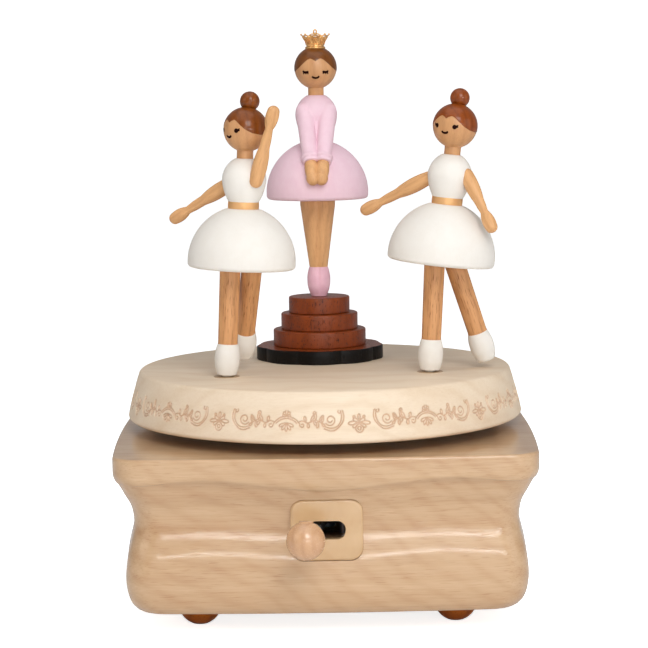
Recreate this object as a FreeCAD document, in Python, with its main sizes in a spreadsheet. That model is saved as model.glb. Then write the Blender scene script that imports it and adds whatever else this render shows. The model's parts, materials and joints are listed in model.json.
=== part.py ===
"""Ballerina music box: a wooden base, a turntable that winds and plays, and three turned figures.

Frame: +Z up, -Y towards the front, origin on the ground under the turntable's axis. Millimetres.
"""
import FreeCAD, Part
import math
import operator
import os

import Sketcher

Vector = FreeCAD.Vector
Z_AXIS = Vector(0, 0, 1)

# ---------------------------------------------------------------- driving dimensions

SIZES = {
    # wooden base, standing on four ball feet
    "foot_radius": 6.8,
    "foot_pad_radius": 2.6,
    "foot_spacing": 39.8,
    "foot_peg_radius": 2.5,
    "foot_peg_length": 6,
    "base_floor": 6.8,
    "base_top": 55.7,
    "base_half_width": 66.3,
    "base_bow": 2,
    "base_corner": 9,
    "lip_height": 8.2,
    "cavity_radius": 48.5,
    "cavity_top": 46,
    "cover_radius": 52.6,
    "cover_thickness": 3,
    "cover_clearance": 0.2,
    "bush_radius": 5,
    "bush_flange_radius": 7,
    "bush_flange_height": 1.8,
    "screw_radius": 1,
    "screw_head_radius": 1.9,
    "screw_length": 9,
    # slot plate and start lever
    "slot_height": 33.3,
    "window_width": 15,
    "window_height": 8,
    "plate_seat": 60.2,
    "plate_width": 21.9,
    "plate_height": 19,
    "plate_thickness": 2,
    "plate_corner": 4,
    "slot_width": 11.3,
    "slot_depth": 5.6,
    "pivot_back": 36,
    "pivot_radius": 1.5,
    "lever_boss_radius": 3.6,
    "lever_arm_width": 3.2,
    "lever_arm_length": 24.5,
    "brake_floor": 22.5,
    "lever_reach": 42.4,
    "lever_swing": 16,
    "lever_thickness": 2.4,
    "lever_neck_radius": 1.85,
    "knob_radius": 5.75,
    # turntable
    "turntable_floor": 59.4,
    "turntable_top": 74.9,
    "turntable_radius": 64,
    "pocket_radius": 57,
    "pocket_top": 67,
    "spindle_radius": 3,
    "flange_radius": 11,
    "flange_floor": 65,
    "flange_screw_ring": 7.5,
    "running_gap": 0.05,
    # planetary drive of the two outer figures
    "gear_module": 1,
    "sun_teeth": 48,
    "planet_teeth": 29,
    "gear_floor": 60.6,
    "gear_thickness": 3.8,
    "sun_boss_radius": 20,
    "sun_bore_radius": 10,
    "sun_screw_ring": 14,
    "sun_screw_height": 60,
    "planet_hub_radius": 4,
    "pin_radius": 1.5,
    "pin_top": 80,
    "bush_floor": 66,
    "foot_bush_radius": 4.1,
    # pedestal of the crowned figure
    "scallop_radius": 21,
    "scallop_thickness": 4.5,
    "step_height": 5.43,
    "step_radius": 15.5,
    "step_inset": 2.65,
    # figures, as lengths along the body from the skirt's underside
    "skirt_radius": 17,
    "skirt_height": 18.7,
    "waist_radius": 4.85,
    "belt_height": 2.2,
    "waist_peg_radius": 3.5,
    "peg_length": 4,
    "torso_radius": 7,
    "torso_height": 13.4,
    "neck_radius": 2.6,
    "head_radius": 7,
    "head_centre": 43.4,
    "bun_radius": 3.1,
    "leg_radius": 3.3,
    "tenon_radius": 1.8,
    "tenon_length": 4,
    "sleeve_radius": 2.9,
    "shoe_radius": 3.95,
    "shoe_length": 9.8,
    "arm_radius": 2.1,
    "wrist_radius": 1.25,
    "hand_radius": 1.95,
    # musical movement
    "bed_top": 46,
    "bed_thickness": 2.5,
    "barrel_floor": 30,
    "barrel_wall": 0.8,
    "spring_arbor_radius": 2.4,
    "comb_screw_radius": 0.9,
    "comb_screw_along": 17.2,
    "crown_teeth": 24,
    "crown_radius": 14.4,
    "drum_teeth": 12,
    "drive_height": 32.1,
    "cylinder_radius": 6.5,
    "cylinder_start": 19,
    "cylinder_length": 16,
    "arbor_radius": 1,
    "wheel_module": 0.5,
    "wheel_teeth": 30,
    "pinion_teeth": 10,
    "governor_teeth": 24,
    "barrel_radius": 11.8,
}

FRONT = -90
CROWNED_AZIMUTH = 93.7
OUTER_SPREAD = 123
CROWNED_DISTANCE = 21.6
MOVEMENT_AZIMUTH = -60
PRESSURE_ANGLE = math.radians(20)

doc = FreeCAD.newDocument("BallerinaMusicBox")
sheet = doc.addObject("Spreadsheet::Sheet", "Sizes")
for row, (alias, number) in enumerate(SIZES.items(), start=1):
    sheet.set("A%d" % row, alias)
    sheet.set("B%d" % row, str(number))
    sheet.setAlias("B%d" % row, alias)
doc.recompute()

# ---------------------------------------------------------------- sizes as expressions

OPERATORS = {"+": operator.add, "-": operator.sub, "*": operator.mul, "/": operator.truediv}


class Size:
    """A length with the sheet expression that binds it."""

    def __init__(self, value, text):
        self.value = value
        self.text = text

    def combined(self, sign, other, swapped=False):
        other = as_size(other)
        left, right = (other, self) if swapped else (self, other)
        value = OPERATORS[sign](left.value, right.value)
        return Size(value, "(%s %s %s)" % (left.text, sign, right.text))

    def __add__(self, other):
        return self.combined("+", other)

    def __radd__(self, other):
        return self.combined("+", other, swapped=True)

    def __sub__(self, other):
        return self.combined("-", other)

    def __rsub__(self, other):
        return self.combined("-", other, swapped=True)

    def __mul__(self, other):
        return self.combined("*", other)

    def __rmul__(self, other):
        return self.combined("*", other, swapped=True)

    def __truediv__(self, other):
        return self.combined("/", other)

    def __neg__(self):
        return Size(-self.value, "(-%s)" % self.text)


def as_size(number):
    if isinstance(number, Size):
        return number
    return Size(float(number), "(%.6g)" % number)


def square_root(length):
    return Size(math.sqrt(length.value), "sqrt(%s)" % length.text)


def size(alias):
    """The sheet's cell as a length that a sketch or feature can be bound to."""
    return Size(float(sheet.get(alias)), "Sizes.%s" % alias)


def value(alias):
    """The sheet's cell as a plain number."""
    return float(sheet.get(alias))


def bind(feature, prop, length):
    length = as_size(length)
    setattr(feature, prop, length.value)
    feature.setExpression(prop, length.text)


# ---------------------------------------------------------------- sketches and bodies

PARTS = []


def placed(origin=(0, 0, 0), rotation=None):
    return FreeCAD.Placement(Vector(*origin), rotation or FreeCAD.Rotation())


def turn_about_z(degrees):
    return FreeCAD.Rotation(Z_AXIS, degrees)


def new_body(label):
    body = doc.addObject("PartDesign::Body", "Body_" + label)
    body.Label = label
    return body


def plane_of(body, role):
    return next(item for item in body.Origin.OriginFeatures if item.Role == role)


def arc_through(start, end, radius):
    """The short arc from start to end; a positive radius bulges outwards on a counterclockwise outline."""
    (x_0, y_0), (x_1, y_1) = start, end
    chord = math.hypot(x_1 - x_0, y_1 - y_0)
    rise = math.sqrt(max(radius * radius - chord * chord / 4, 0))
    side = 1 if radius > 0 else -1
    centre_x = (x_0 + x_1) / 2 - side * rise * (y_1 - y_0) / chord
    centre_y = (y_0 + y_1) / 2 + side * rise * (x_1 - x_0) / chord
    angle_0 = math.atan2(y_0 - centre_y, x_0 - centre_x)
    angle_1 = math.atan2(y_1 - centre_y, x_1 - centre_x)
    if side < 0:
        angle_0, angle_1 = angle_1, angle_0
    if angle_1 < angle_0:
        angle_1 += 2 * math.pi
    circle = Part.Circle(Vector(centre_x, centre_y, 0), Z_AXIS, abs(radius))
    return Part.ArcOfCircle(circle, angle_0, angle_1), ((1, 2) if side > 0 else (2, 1))


def draw(body, points, role="XZ_Plane", offset=0, name="Sketch"):
    """A closed sketch. Each point is (across, up) or (across, up, radius of the arc to the next point)."""
    sketch = body.newObject("Sketcher::SketchObject", name)
    sketch.AttachmentSupport = [(plane_of(body, role), "")]
    sketch.MapMode = "FlatFace"
    offset = as_size(offset)
    sketch.AttachmentOffset = FreeCAD.Placement(Vector(0, 0, offset.value), FreeCAD.Rotation())
    sketch.setExpression("AttachmentOffset.Base.z", offset.text)
    points = [tuple(as_size(item) for item in point) for point in points]
    corners = [(point[0].value, point[1].value) for point in points]
    ends = []
    for index, point in enumerate(points):
        start = corners[index]
        end = corners[(index + 1) % len(points)]
        if len(point) == 3:
            curve, order = arc_through(start, end, point[2].value)
        else:
            curve, order = Part.LineSegment(Vector(*start, 0), Vector(*end, 0)), (1, 2)
        sketch.addGeometry(curve, False)
        ends.append(order)
    for index, point in enumerate(points):
        following = (index + 1) % len(points)
        meeting = (index, ends[index][1], following, ends[following][0])
        sketch.addConstraint(Sketcher.Constraint("Coincident", *meeting))
        for kind, length in (("DistanceX", point[0]), ("DistanceY", point[1])):
            constraint = Sketcher.Constraint(kind, -1, 1, index, ends[index][0], length.value)
            number = sketch.addConstraint(constraint)
            sketch.setExpression("Constraints[%d]" % number, length.text)
        if len(point) == 3:
            radius = point[2] if point[2].value > 0 else -point[2]
            number = sketch.addConstraint(Sketcher.Constraint("Radius", index, radius.value))
            sketch.setExpression("Constraints[%d]" % number, radius.text)
    return sketch


def draw_circle(body, radius, centre=(0, 0), role="XY_Plane", offset=0, name="Circle"):
    sketch = body.newObject("Sketcher::SketchObject", name)
    sketch.AttachmentSupport = [(plane_of(body, role), "")]
    sketch.MapMode = "FlatFace"
    offset = as_size(offset)
    sketch.AttachmentOffset = FreeCAD.Placement(Vector(0, 0, offset.value), FreeCAD.Rotation())
    sketch.setExpression("AttachmentOffset.Base.z", offset.text)
    radius = as_size(radius)
    across, up = (as_size(item) for item in centre)
    circle = Part.Circle(Vector(across.value, up.value, 0), Z_AXIS, radius.value)
    sketch.addGeometry(circle, False)
    for constraint, length in (
        (Sketcher.Constraint("Radius", 0, radius.value), radius),
        (Sketcher.Constraint("DistanceX", -1, 1, 0, 3, across.value), across),
        (Sketcher.Constraint("DistanceY", -1, 1, 0, 3, up.value), up),
    ):
        number = sketch.addConstraint(constraint)
        sketch.setExpression("Constraints[%d]" % number, length.text)
    return sketch


def revolve(body, points):
    feature = body.newObject("PartDesign::Revolution", "Turning")
    profile = draw(body, points)
    feature.Profile = profile
    feature.ReferenceAxis = (profile, ["V_Axis"])
    feature.Angle = 360
    profile.Visibility = False
    return feature


def pad(body, sketch, length, backwards=False):
    feature = body.newObject("PartDesign::Pad", "Pad")
    feature.Profile = sketch
    bind(feature, "Length", length)
    feature.Reversed = backwards
    return feature


def pocket(body, sketch, length, backwards=False):
    """A cut against the sketch's normal, or along it when backwards is set."""
    feature = body.newObject("PartDesign::Pocket", "Pocket")
    feature.Profile = sketch
    bind(feature, "Length", length)
    feature.Reversed = backwards
    return feature


def keep(item, placement=None):
    """Registers a finished sub-part."""
    if placement is not None:
        item.Placement = placement
    PARTS.append(item)
    return item


def turned(label, points, placement=None):
    """A piece turned on the lathe about its own Z axis."""
    body = new_body(label)
    revolve(body, points)
    body.Placement = placement or placed()
    return body


def cut_by(item, tools):
    """item with the space of each tool removed; the result takes over the label."""
    label = item.Label
    item.Label = label + "_blank"
    for number, tool in enumerate(tools):
        result = doc.addObject("Part::Cut", "Cut_%s_%d" % (label, number))
        result.Base = item
        result.Tool = tool
        result.Refine = False
        item = result
    item.Label = label
    return item


def from_shape(label, shape, placement=None):
    feature = doc.addObject("Part::Feature", "Shape_" + label)
    feature.Label = label
    own = shape.Placement
    feature.Shape = shape
    feature.Placement = (placement or placed()).multiply(own)
    return feature


def box_between(low, high):
    corner = Vector(*low)
    return Part.makeBox(high[0] - low[0], high[1] - low[1], high[2] - low[2], corner)


def cylinder_along(radius, start, end):
    start = Vector(*start)
    along = Vector(*end) - start
    return Part.makeCylinder(radius, along.Length, start, along)


# ---------------------------------------------------------------- gears


def involute_gear(teeth, module, height, slack=0.12, bore=0):
    """A spur gear about Z from 0 to height, with tooth 0 centred on +X."""
    pitch = teeth * module / 2
    base = pitch * math.cos(PRESSURE_ANGLE)
    tip = pitch + module
    root = pitch - 1.25 * module
    half_tooth = math.pi / (2 * teeth) - slack / (2 * pitch)

    def flank_angle(radius):
        def involute(at):
            return math.sqrt(max((at / base) ** 2 - 1, 0)) - math.acos(min(base / at, 1))
        return half_tooth + involute(pitch) - involute(radius)

    def polar(radius, angle):
        return Vector(radius * math.cos(angle), radius * math.sin(angle), 0)

    start = max(base, root)
    radii = [start + (tip - start) * step / 4 for step in range(5)]
    edges = []
    for number in range(teeth):
        middle = 2 * math.pi * number / teeth
        rising = [polar(radius, middle - flank_angle(radius)) for radius in radii]
        falling = [polar(radius, middle + flank_angle(radius)) for radius in reversed(radii)]
        foot_in = polar(root, middle - flank_angle(start))
        foot_out = polar(root, middle + flank_angle(start))
        next_foot = polar(root, middle + 2 * math.pi / teeth - flank_angle(start))
        for flank in (rising, falling):
            curve = Part.BSplineCurve()
            curve.interpolate(flank)
            edges.append(curve.toShape())
        edges.append(Part.Arc(rising[-1], polar(tip, middle), falling[0]).toShape())
        if root < base:
            edges.append(Part.makeLine(foot_in, rising[0]))
            edges.append(Part.makeLine(falling[-1], foot_out))
        gap_middle = polar(root, middle + math.pi / teeth)
        edges.append(Part.Arc(foot_out, gap_middle, next_foot).toShape())
    outline = Part.Wire(Part.__sortEdges__(edges))
    solid = Part.Face(outline).extrude(Vector(0, 0, height))
    if bore:
        solid = solid.cut(Part.makeCylinder(bore, height))
    return solid


def mesh_turn(azimuth, own_teeth, other_teeth, other_turn=0):
    """Rotation that puts a gear in mesh with one at the origin, when it lies at azimuth from it."""
    other_pitch = 360 / other_teeth
    offset = (azimuth - other_turn) / other_pitch
    tooth_off_line = (round(offset) - offset) * other_pitch
    own_gap = azimuth + 180 - tooth_off_line * other_teeth / own_teeth
    return own_gap - 180 / own_teeth


def crown_teeth():
    """The face wheel's teeth, pointing down from the wheel's disc, before they are placed."""
    teeth = int(value("crown_teeth"))
    radius = value("crown_radius")
    module = 2 * radius / teeth
    pitch_half = math.pi * module / 4
    slope = math.tan(PRESSURE_ANGLE)
    slack = 0.2
    root = 1.25 * module
    tip = 0.7 * module
    reach = 1.5
    overlap = 0.2

    def section(at):
        scale = at / radius
        root_half = (pitch_half - slack + root * slope) * scale
        tip_half = (pitch_half - slack - tip * slope) * scale
        top = root + overlap
        corners = [(-root_half, top), (-tip_half, -tip), (tip_half, -tip), (root_half, top)]
        points = [Vector(at, across, up) for across, up in corners]
        return Part.makePolygon(points + points[:1])

    tooth = Part.makeLoft([section(radius - reach), section(radius + reach)], True, True)
    ring = []
    for number in range(teeth):
        copy = tooth.copy()
        copy.rotate(Vector(), Z_AXIS, 360 * number / teeth)
        ring.append(copy)
    return ring, root, radius + reach


# ---------------------------------------------------------------- wooden base


def bowed_square(body, half_width, bow, corner, height):
    """A square sketch with gently bowed sides and rounded corners, at a height."""
    side = half_width - bow
    run = side - corner
    side_radius = (run * run + bow * bow) / (2 * bow)
    quarter = [(side, -run, side_radius), (side, run, corner)]
    points = []
    for across, up in ((1, 0), (0, 1), (-1, 0), (0, -1)):
        for first, second, radius in quarter:
            points.append((first * across - second * up, first * up + second * across, radius))
    return draw(body, points, "XY_Plane", height, "Section")


def screw_spots():
    """Point and direction of every wood screw in the base: cover, musical movement and sun gear."""
    spots = []
    cover_ring = (value("cavity_radius") + value("cover_radius")) / 2
    for number in range(4):
        angle = math.radians(90 * number)
        spots.append(((cover_ring * math.cos(angle), cover_ring * math.sin(angle), value("base_floor")), 1))
    bed_floor = value("bed_top") - value("bed_thickness")
    turn = turn_about_z(MOVEMENT_AZIMUTH)
    for across, along in ((-15, -12), (-15, 16), (30, -12)):
        spot = turn.multVec(Vector(across, along, bed_floor))
        spots.append((tuple(spot), 1))
    ring = value("sun_screw_ring")
    for number in range(3):
        angle = math.radians(120 * number + 30)
        spots.append(((ring * math.cos(angle), ring * math.sin(angle), value("sun_screw_height")), -1))
    return spots


COUNTERSINK_RIM = 0.3
COUNTERSINK_END = 1.3
SCREW_TIP = 2


def wood_screw():
    """A countersunk wood screw, head at the origin, pointing up."""
    radius = value("screw_radius")
    head = value("screw_head_radius")
    length = value("screw_length")
    profile = [
        (0, 0), (head, 0), (head, COUNTERSINK_RIM), (radius, COUNTERSINK_END), (radius, length - SCREW_TIP),
        (0, length),
    ]
    points = [Vector(across, 0, up) for across, up in profile]
    face = Part.Face(Part.makePolygon(points + points[:1]))
    solid = face.revolve(Vector(), Z_AXIS, 360)
    slot = Part.makeBox(3, 0.5, 0.5, Vector(-1.5, -0.25, 0))
    return solid.cut(slot)


def make_base_screws():
    screws = []
    for spot, direction in screw_spots():
        screw = wood_screw()
        if direction < 0:
            screw.rotate(Vector(), Vector(1, 0, 0), 180)
        screw.translate(Vector(*spot))
        screws.append(screw)
    return keep(from_shape("base_screws", Part.makeCompound(screws)))


def screw_holes():
    """The screws' space without their driving slots."""
    radius = value("screw_radius")
    head = value("screw_head_radius")
    shank = value("screw_length") - SCREW_TIP
    cone = COUNTERSINK_END - COUNTERSINK_RIM
    holes = []
    for spot, direction in screw_spots():
        start = Vector(*spot)
        axis = Vector(0, 0, direction)
        holes.append(Part.makeCylinder(radius, shank, start, axis))
        holes.append(Part.makeCone(radius, 0, SCREW_TIP, start + axis * shank, axis))
        holes.append(Part.makeCylinder(head, COUNTERSINK_RIM, start, axis))
        holes.append(Part.makeCone(head, radius, cone, start + axis * COUNTERSINK_RIM, axis))
    return from_shape("screw_holes", holes[0].multiFuse(holes[1:]))


def make_ball_feet():
    radius = value("foot_radius")
    floor = value("base_floor")
    spacing = value("foot_spacing")
    pad_radius = value("foot_pad_radius")
    centre = math.sqrt(radius ** 2 - pad_radius ** 2)
    ball = Part.makeSphere(radius, Vector(0, 0, centre))
    ball = ball.common(Part.makeBox(4 * radius, 4 * radius, floor, Vector(-2 * radius, -2 * radius, 0)))
    peg = Part.makeCylinder(value("foot_peg_radius"), value("foot_peg_length") + 1, Vector(0, 0, floor - 1))
    foot = ball.fuse(peg).removeSplitter()
    feet = []
    for across in (-spacing, spacing):
        for along in (-spacing, spacing):
            copy = foot.copy()
            copy.translate(Vector(across, along, 0))
            feet.append(copy)
    return keep(from_shape("ball_feet", Part.makeCompound(feet)))


PIVOT_HOLE_DEPTH = 6
# longer than the way from the window or the plate's seat out to the front
OUT_TO_FRONT = 40


def make_base_block(feet, holes):
    """Bombe block: belly below, hollow waist, and a straight lip under the flat top."""
    body = new_body("base_block")
    width = size("base_half_width")
    floor = size("base_floor")
    lip_floor = size("base_top") - size("lip_height")
    rise = lip_floor - floor
    # fractions of the height under the lip, and how far the side stands in from the lip
    profile = [
        (0, 8.4), (0.025, 6.2), (0.075, 4.7), (0.16, 3.6), (0.28, 3.2),
        (0.44, 4.0), (0.58, 5.4), (0.69, 6.0), (0.81, 5.2), (0.92, 2.8), (1, 0.8),
    ]
    sections = []
    for fraction, inset in profile:
        height = floor + rise * fraction
        sections.append(bowed_square(body, width - inset, size("base_bow"), size("base_corner"), height))
    loft = body.newObject("PartDesign::AdditiveLoft", "Bombe")
    loft.Profile = sections[0]
    loft.Sections = sections[1:]
    lip = bowed_square(body, width, size("base_bow"), size("base_corner"), lip_floor)
    pad(body, lip, size("lip_height"))
    cavity = draw_circle(body, size("cavity_radius"), offset=floor)
    pocket(body, cavity, size("cavity_top") - floor, backwards=True)
    rebate = draw_circle(body, size("cover_radius") + size("cover_clearance"), offset=floor)
    pocket(body, rebate, size("cover_thickness"), backwards=True)
    bush_hole = draw_circle(body, size("bush_radius"), offset=floor)
    pocket(body, bush_hole, size("base_top") - floor, backwards=True)
    pin_hole = draw_circle(body, size("pivot_radius"), (0, -size("pivot_back")), offset=size("cavity_top"))
    pocket(body, pin_hole, PIVOT_HOLE_DEPTH, backwards=True)
    half_width = size("window_width") / 2
    half_height = size("window_height") / 2
    low = size("slot_height") - half_height
    high = size("slot_height") + half_height
    window = draw(body, [(-half_width, low), (half_width, low), (half_width, high), (-half_width, high)],
                  offset=size("pivot_back"))
    pocket(body, window, OUT_TO_FRONT, backwards=True)
    half_width = size("plate_width") / 2
    half_height = size("plate_height") / 2
    low = size("slot_height") - half_height
    high = size("slot_height") + half_height
    corner = size("plate_corner")
    outline = rounded_rectangle(-half_width, half_width, low, high, corner)
    seat = draw(body, outline, offset=size("plate_seat"))
    pocket(body, seat, OUT_TO_FRONT, backwards=True)
    return keep(cut_by(body, [feet, holes]))


def rounded_rectangle(left, right, low, high, corner):
    return [
        (left + corner, low), (right - corner, low, corner), (right, low + corner),
        (right, high - corner, corner), (right - corner, high), (left + corner, high, corner),
        (left, high - corner), (left, low + corner, corner),
    ]


def make_bottom_cover(holes):
    cover = new_body("bottom_cover")
    pad(cover, draw_circle(cover, size("cover_radius"), offset=size("base_floor")), size("cover_thickness"))
    return keep(cut_by(cover, [holes]))


def make_slot_plate():
    body = new_body("slot_plate")
    half_width = size("plate_width") / 2
    half_height = size("plate_height") / 2
    middle = size("slot_height")
    outline = rounded_rectangle(-half_width, half_width, middle - half_height, middle + half_height,
                                size("plate_corner"))
    front = size("plate_seat")
    pad(body, draw(body, outline, offset=front), size("plate_thickness"))
    end = size("slot_depth") / 2
    run = size("slot_width") / 2 - end
    # a hair over the half circle's radius, so that the arc has a middle to be worked out from
    round_end = end * 1.0001
    slot = [
        (-run, middle - end), (run, middle - end, round_end), (run, middle + end),
        (-run, middle + end, round_end),
    ]
    pocket(body, draw(body, slot, offset=front), size("plate_thickness"), backwards=True)
    return keep(body)


BRAKE_RADIUS = 1
BRAKE_GAP = 0.1


def make_start_lever():
    """Flat lever on a vertical pin: an arm out through the slot and a short arm with the brake pad."""
    body = new_body("start_lever")
    thickness = size("lever_thickness")
    floor = size("slot_height") - thickness / 2
    pad(body, draw_circle(body, size("lever_boss_radius"), offset=floor), thickness)
    half = size("lever_arm_width") / 2
    end = -size("lever_arm_length")
    arm = draw(body, [(-half, end), (half, end), (half, 0), (-half, 0)], "XY_Plane", floor)
    pad(body, arm, thickness)
    # the short arm reaches from the boss to the brake pad
    side = draw(body, [(5.4, -9.6), (7.4, -9.6), (7.4, -8.6), (1, 1), (-1, 0)], "XY_Plane", floor)
    pad(body, side, thickness)
    brake = draw_circle(body, BRAKE_RADIUS, brake_spot(), offset=size("brake_floor"))
    pad(body, brake, size("slot_height") - size("brake_floor"))
    neck_end = size("lever_reach") - 1.8
    neck_length = 18.2
    neck_spot = (0, size("slot_height"))
    neck = draw_circle(body, size("lever_neck_radius"), neck_spot, "XZ_Plane", neck_end)
    pad(body, neck, neck_length, backwards=True)
    hole = draw_circle(body, size("pivot_radius") + size("running_gap"), offset=floor)
    pocket(body, hole, thickness, backwards=True)
    return keep(body, lever_placement())


def brake_spot():
    """The brake pad's centre in the lever's own frame, just off the governor wheel at full swing."""
    tip_radius = (value("governor_teeth") + 2) * value("wheel_module") / 2
    along = governor_offset()[0] - tip_radius - BRAKE_RADIUS - BRAKE_GAP
    spot = turn_about_z(MOVEMENT_AZIMUTH).multVec(Vector(GOVERNOR_WHEEL_AT, along, 0))
    spot -= Vector(0, -value("pivot_back"), 0)
    back = turn_about_z(-lever_rest_angle() - value("lever_swing")).multVec(spot)
    return back.x, back.y


def lever_rest_angle():
    return -value("lever_swing") / 2


def lever_placement():
    return placed((0, -value("pivot_back"), 0), turn_about_z(lever_rest_angle()))


def make_lever_knob(lever):
    centre = (0, -value("lever_reach") - 2, value("slot_height") + 0.6)
    ball = from_shape("lever_knob", Part.makeSphere(value("knob_radius"), Vector(*centre)), lever_placement())
    return keep(cut_by(ball, [lever]))


def make_lever_pivot():
    """Headed pin under the lever, pressed into the block above it."""
    body = new_body("lever_pivot")
    floor = size("slot_height") - 4
    length = size("cavity_top") + PIVOT_HOLE_DEPTH - 0.1 - floor
    pad(body, draw_circle(body, size("pivot_radius"), offset=floor), length)
    head_radius, head_height = 2.6, 1.2
    pad(body, draw_circle(body, head_radius, offset=floor), head_height)
    return keep(body, placed((0, -value("pivot_back"), 0)))


# ---------------------------------------------------------------- turntable and planetary drive


def spin_spot(azimuth, distance, height=0.0):
    angle = math.radians(azimuth)
    return (distance * math.cos(angle), distance * math.sin(angle), height)


def carrier_distance():
    return value("gear_module") * (value("sun_teeth") + value("planet_teeth")) / 2


def make_spindle_bush():
    floor = size("bed_top") - size("bed_thickness") - 0.3
    bore = size("spindle_radius") + size("running_gap")
    top = size("base_top")
    outer = size("bush_radius")
    flange = size("bush_flange_radius")
    end = top + size("bush_flange_height")
    points = [(bore, floor), (outer, floor), (outer, top), (flange, top), (flange, end), (bore, end)]
    return keep(turned("spindle_bush", points))


def make_sun_gear(holes):
    teeth = int(value("sun_teeth"))
    module = value("gear_module")
    floor = value("gear_floor")
    base = Vector(0, 0, value("base_top"))
    gear = involute_gear(teeth, module, value("gear_thickness"))
    gear.translate(Vector(0, 0, floor))
    boss = Part.makeCylinder(value("sun_boss_radius"), floor + 1 - base.z, base)
    solid = gear.fuse(boss)
    through = 20
    solid = solid.cut(Part.makeCylinder(value("sun_bore_radius"), through, base))
    head_hole = value("screw_head_radius") + 0.3
    for spot, direction in screw_spots():
        if direction < 0:
            solid = solid.cut(Part.makeCylinder(head_hole, through, Vector(*spot)))
    return keep(cut_by(from_shape("sun_gear", solid), [holes]))


def make_planet_gear(side, azimuth):
    """The gear under a spinning figure, in one piece with the pin that carries the figure."""
    teeth = int(value("planet_teeth"))
    solid = involute_gear(teeth, value("gear_module"), value("gear_thickness"))
    floor = Vector(0, 0, value("gear_floor"))
    solid.translate(floor)
    hub_height = value("bush_floor") - 0.1 - floor.z
    hub = Part.makeCylinder(value("planet_hub_radius"), hub_height, floor)
    pin = Part.makeCylinder(value("pin_radius"), value("pin_top") - floor.z, floor)
    solid = solid.fuse([hub, pin])
    spin = mesh_turn(azimuth, teeth, int(value("sun_teeth")))
    spot = spin_spot(azimuth, carrier_distance())
    return keep(from_shape("planet_gear_" + side, solid, placed(spot, turn_about_z(spin))))


def make_spindle():
    """Shaft from the spring barrel up to the flange that is screwed under the turntable."""
    radius = size("spindle_radius")
    collar = size("base_top") + size("bush_flange_height") + size("running_gap")
    collar_radius, collar_top = 5.5, collar + 1.2
    key_radius, key_floor, key_top = 2, 40.6, 42.5
    flange, flange_floor, pocket_top = size("flange_radius"), size("flange_floor"), size("pocket_top")
    end = flange_floor + 5
    points = [
        (0, key_floor), (key_radius, key_floor), (key_radius, key_top), (radius, key_top), (radius, collar),
        (collar_radius, collar), (collar_radius, collar_top), (radius, collar_top), (radius, flange_floor),
        (flange, flange_floor), (flange, pocket_top), (radius, pocket_top), (radius, end), (0, end),
    ]
    return turned("spindle", points)


def make_spindle_screws():
    """Three flat-headed screws up through the flange into the turntable."""
    head_radius, head_height, length = 1.7, 0.8, 7
    slot_width, slot_depth = 0.4, 0.3
    height = value("flange_floor") - head_height
    screws = []
    for number in range(3):
        spot = Vector(*spin_spot(120 * number, value("flange_screw_ring"), height))
        head = Part.makeCylinder(head_radius, head_height, spot)
        shank = Part.makeCylinder(value("screw_radius"), length, spot)
        slot = Part.makeBox(3, slot_width, slot_depth, spot - Vector(1.5, slot_width / 2, 0))
        screws.append(head.fuse(shank).cut(slot))
    return keep(from_shape("spindle_screws", Part.makeCompound(screws)))


def make_turntable_disc(bushes, spindle, screws):
    floor = size("turntable_floor")
    top = size("turntable_top")
    radius = size("turntable_radius")
    pocket_radius = size("pocket_radius")
    points = [
        (0, size("pocket_top")), (pocket_radius, size("pocket_top")), (pocket_radius, floor),
        (radius - 1.2, floor, 1.2), (radius, floor + 1.2, 90), (radius - 2.4, top - 5, 30),
        (radius - 3.5, top - 1.4, 1.6), (radius - 4.6, top), (0, top),
    ]
    disc = turned("turntable_disc", points)
    return keep(cut_by(disc, [bushes, spindle, screws]))


def make_foot_bushes(azimuths):
    rings = []
    height = value("turntable_top") + 0.1 - value("bush_floor")
    bore = value("pin_radius") + value("running_gap")
    for azimuth in azimuths:
        spot = spin_spot(azimuth, carrier_distance(), value("bush_floor"))
        ring = Part.makeCylinder(value("foot_bush_radius"), height, Vector(*spot))
        rings.append(ring.cut(Part.makeCylinder(bore, height, Vector(*spot))))
    return keep(from_shape("foot_bushes", Part.makeCompound(rings)))


def foot_bush_space(azimuths):
    """The bushes' space in the turntable."""
    plugs = []
    for azimuth in azimuths:
        spot = spin_spot(azimuth, carrier_distance(), value("bush_floor"))
        plugs.append(Part.makeCylinder(value("foot_bush_radius"), 12, Vector(*spot)))
    return from_shape("foot_bush_space", Part.makeCompound(plugs))


# ---------------------------------------------------------------- pedestal


def make_scalloped_plate(centre):
    """A cloud-edged plate: nine lobes on a circle."""
    radius = value("scallop_radius")
    lobes = 9
    lobe_height = 0.9
    steps = 8 * lobes
    points = []
    for step in range(steps):
        angle = 2 * math.pi * step / steps
        at = radius + lobe_height * (abs(math.cos(angle * lobes / 2)) - 0.5)
        points.append(Vector(at * math.cos(angle), at * math.sin(angle), 0))
    curve = Part.BSplineCurve()
    curve.interpolate(points, PeriodicFlag=True)
    solid = Part.Face(Part.Wire(curve.toShape())).extrude(Vector(0, 0, value("scallop_thickness")))
    placement = placed((centre[0], centre[1], value("turntable_top")), turn_about_z(FRONT))
    return keep(from_shape("scalloped_plate", solid, placement))


def make_pedestal_step(name, level, centre, tools):
    radius = size("step_radius") - size("step_inset") * level
    height = size("step_height")
    edge = 0.5
    points = [(0, 0), (radius, 0), (radius, height - edge, edge), (radius - edge, height), (0, height)]
    floor = value("turntable_top") + value("scallop_thickness") + level * value("step_height")
    body = turned("pedestal_step_" + name, points, placed((centre[0], centre[1], floor)))
    return keep(cut_by(body, tools))


# ---------------------------------------------------------------- turned figures


def aim(start, end, spin=0.0):
    """Placement that lays a piece's own Z axis along the line from start to end."""
    rotation = FreeCAD.Rotation(Z_AXIS, Vector(*end) - Vector(*start))
    return placed(start, rotation.multiply(turn_about_z(spin)))


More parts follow.
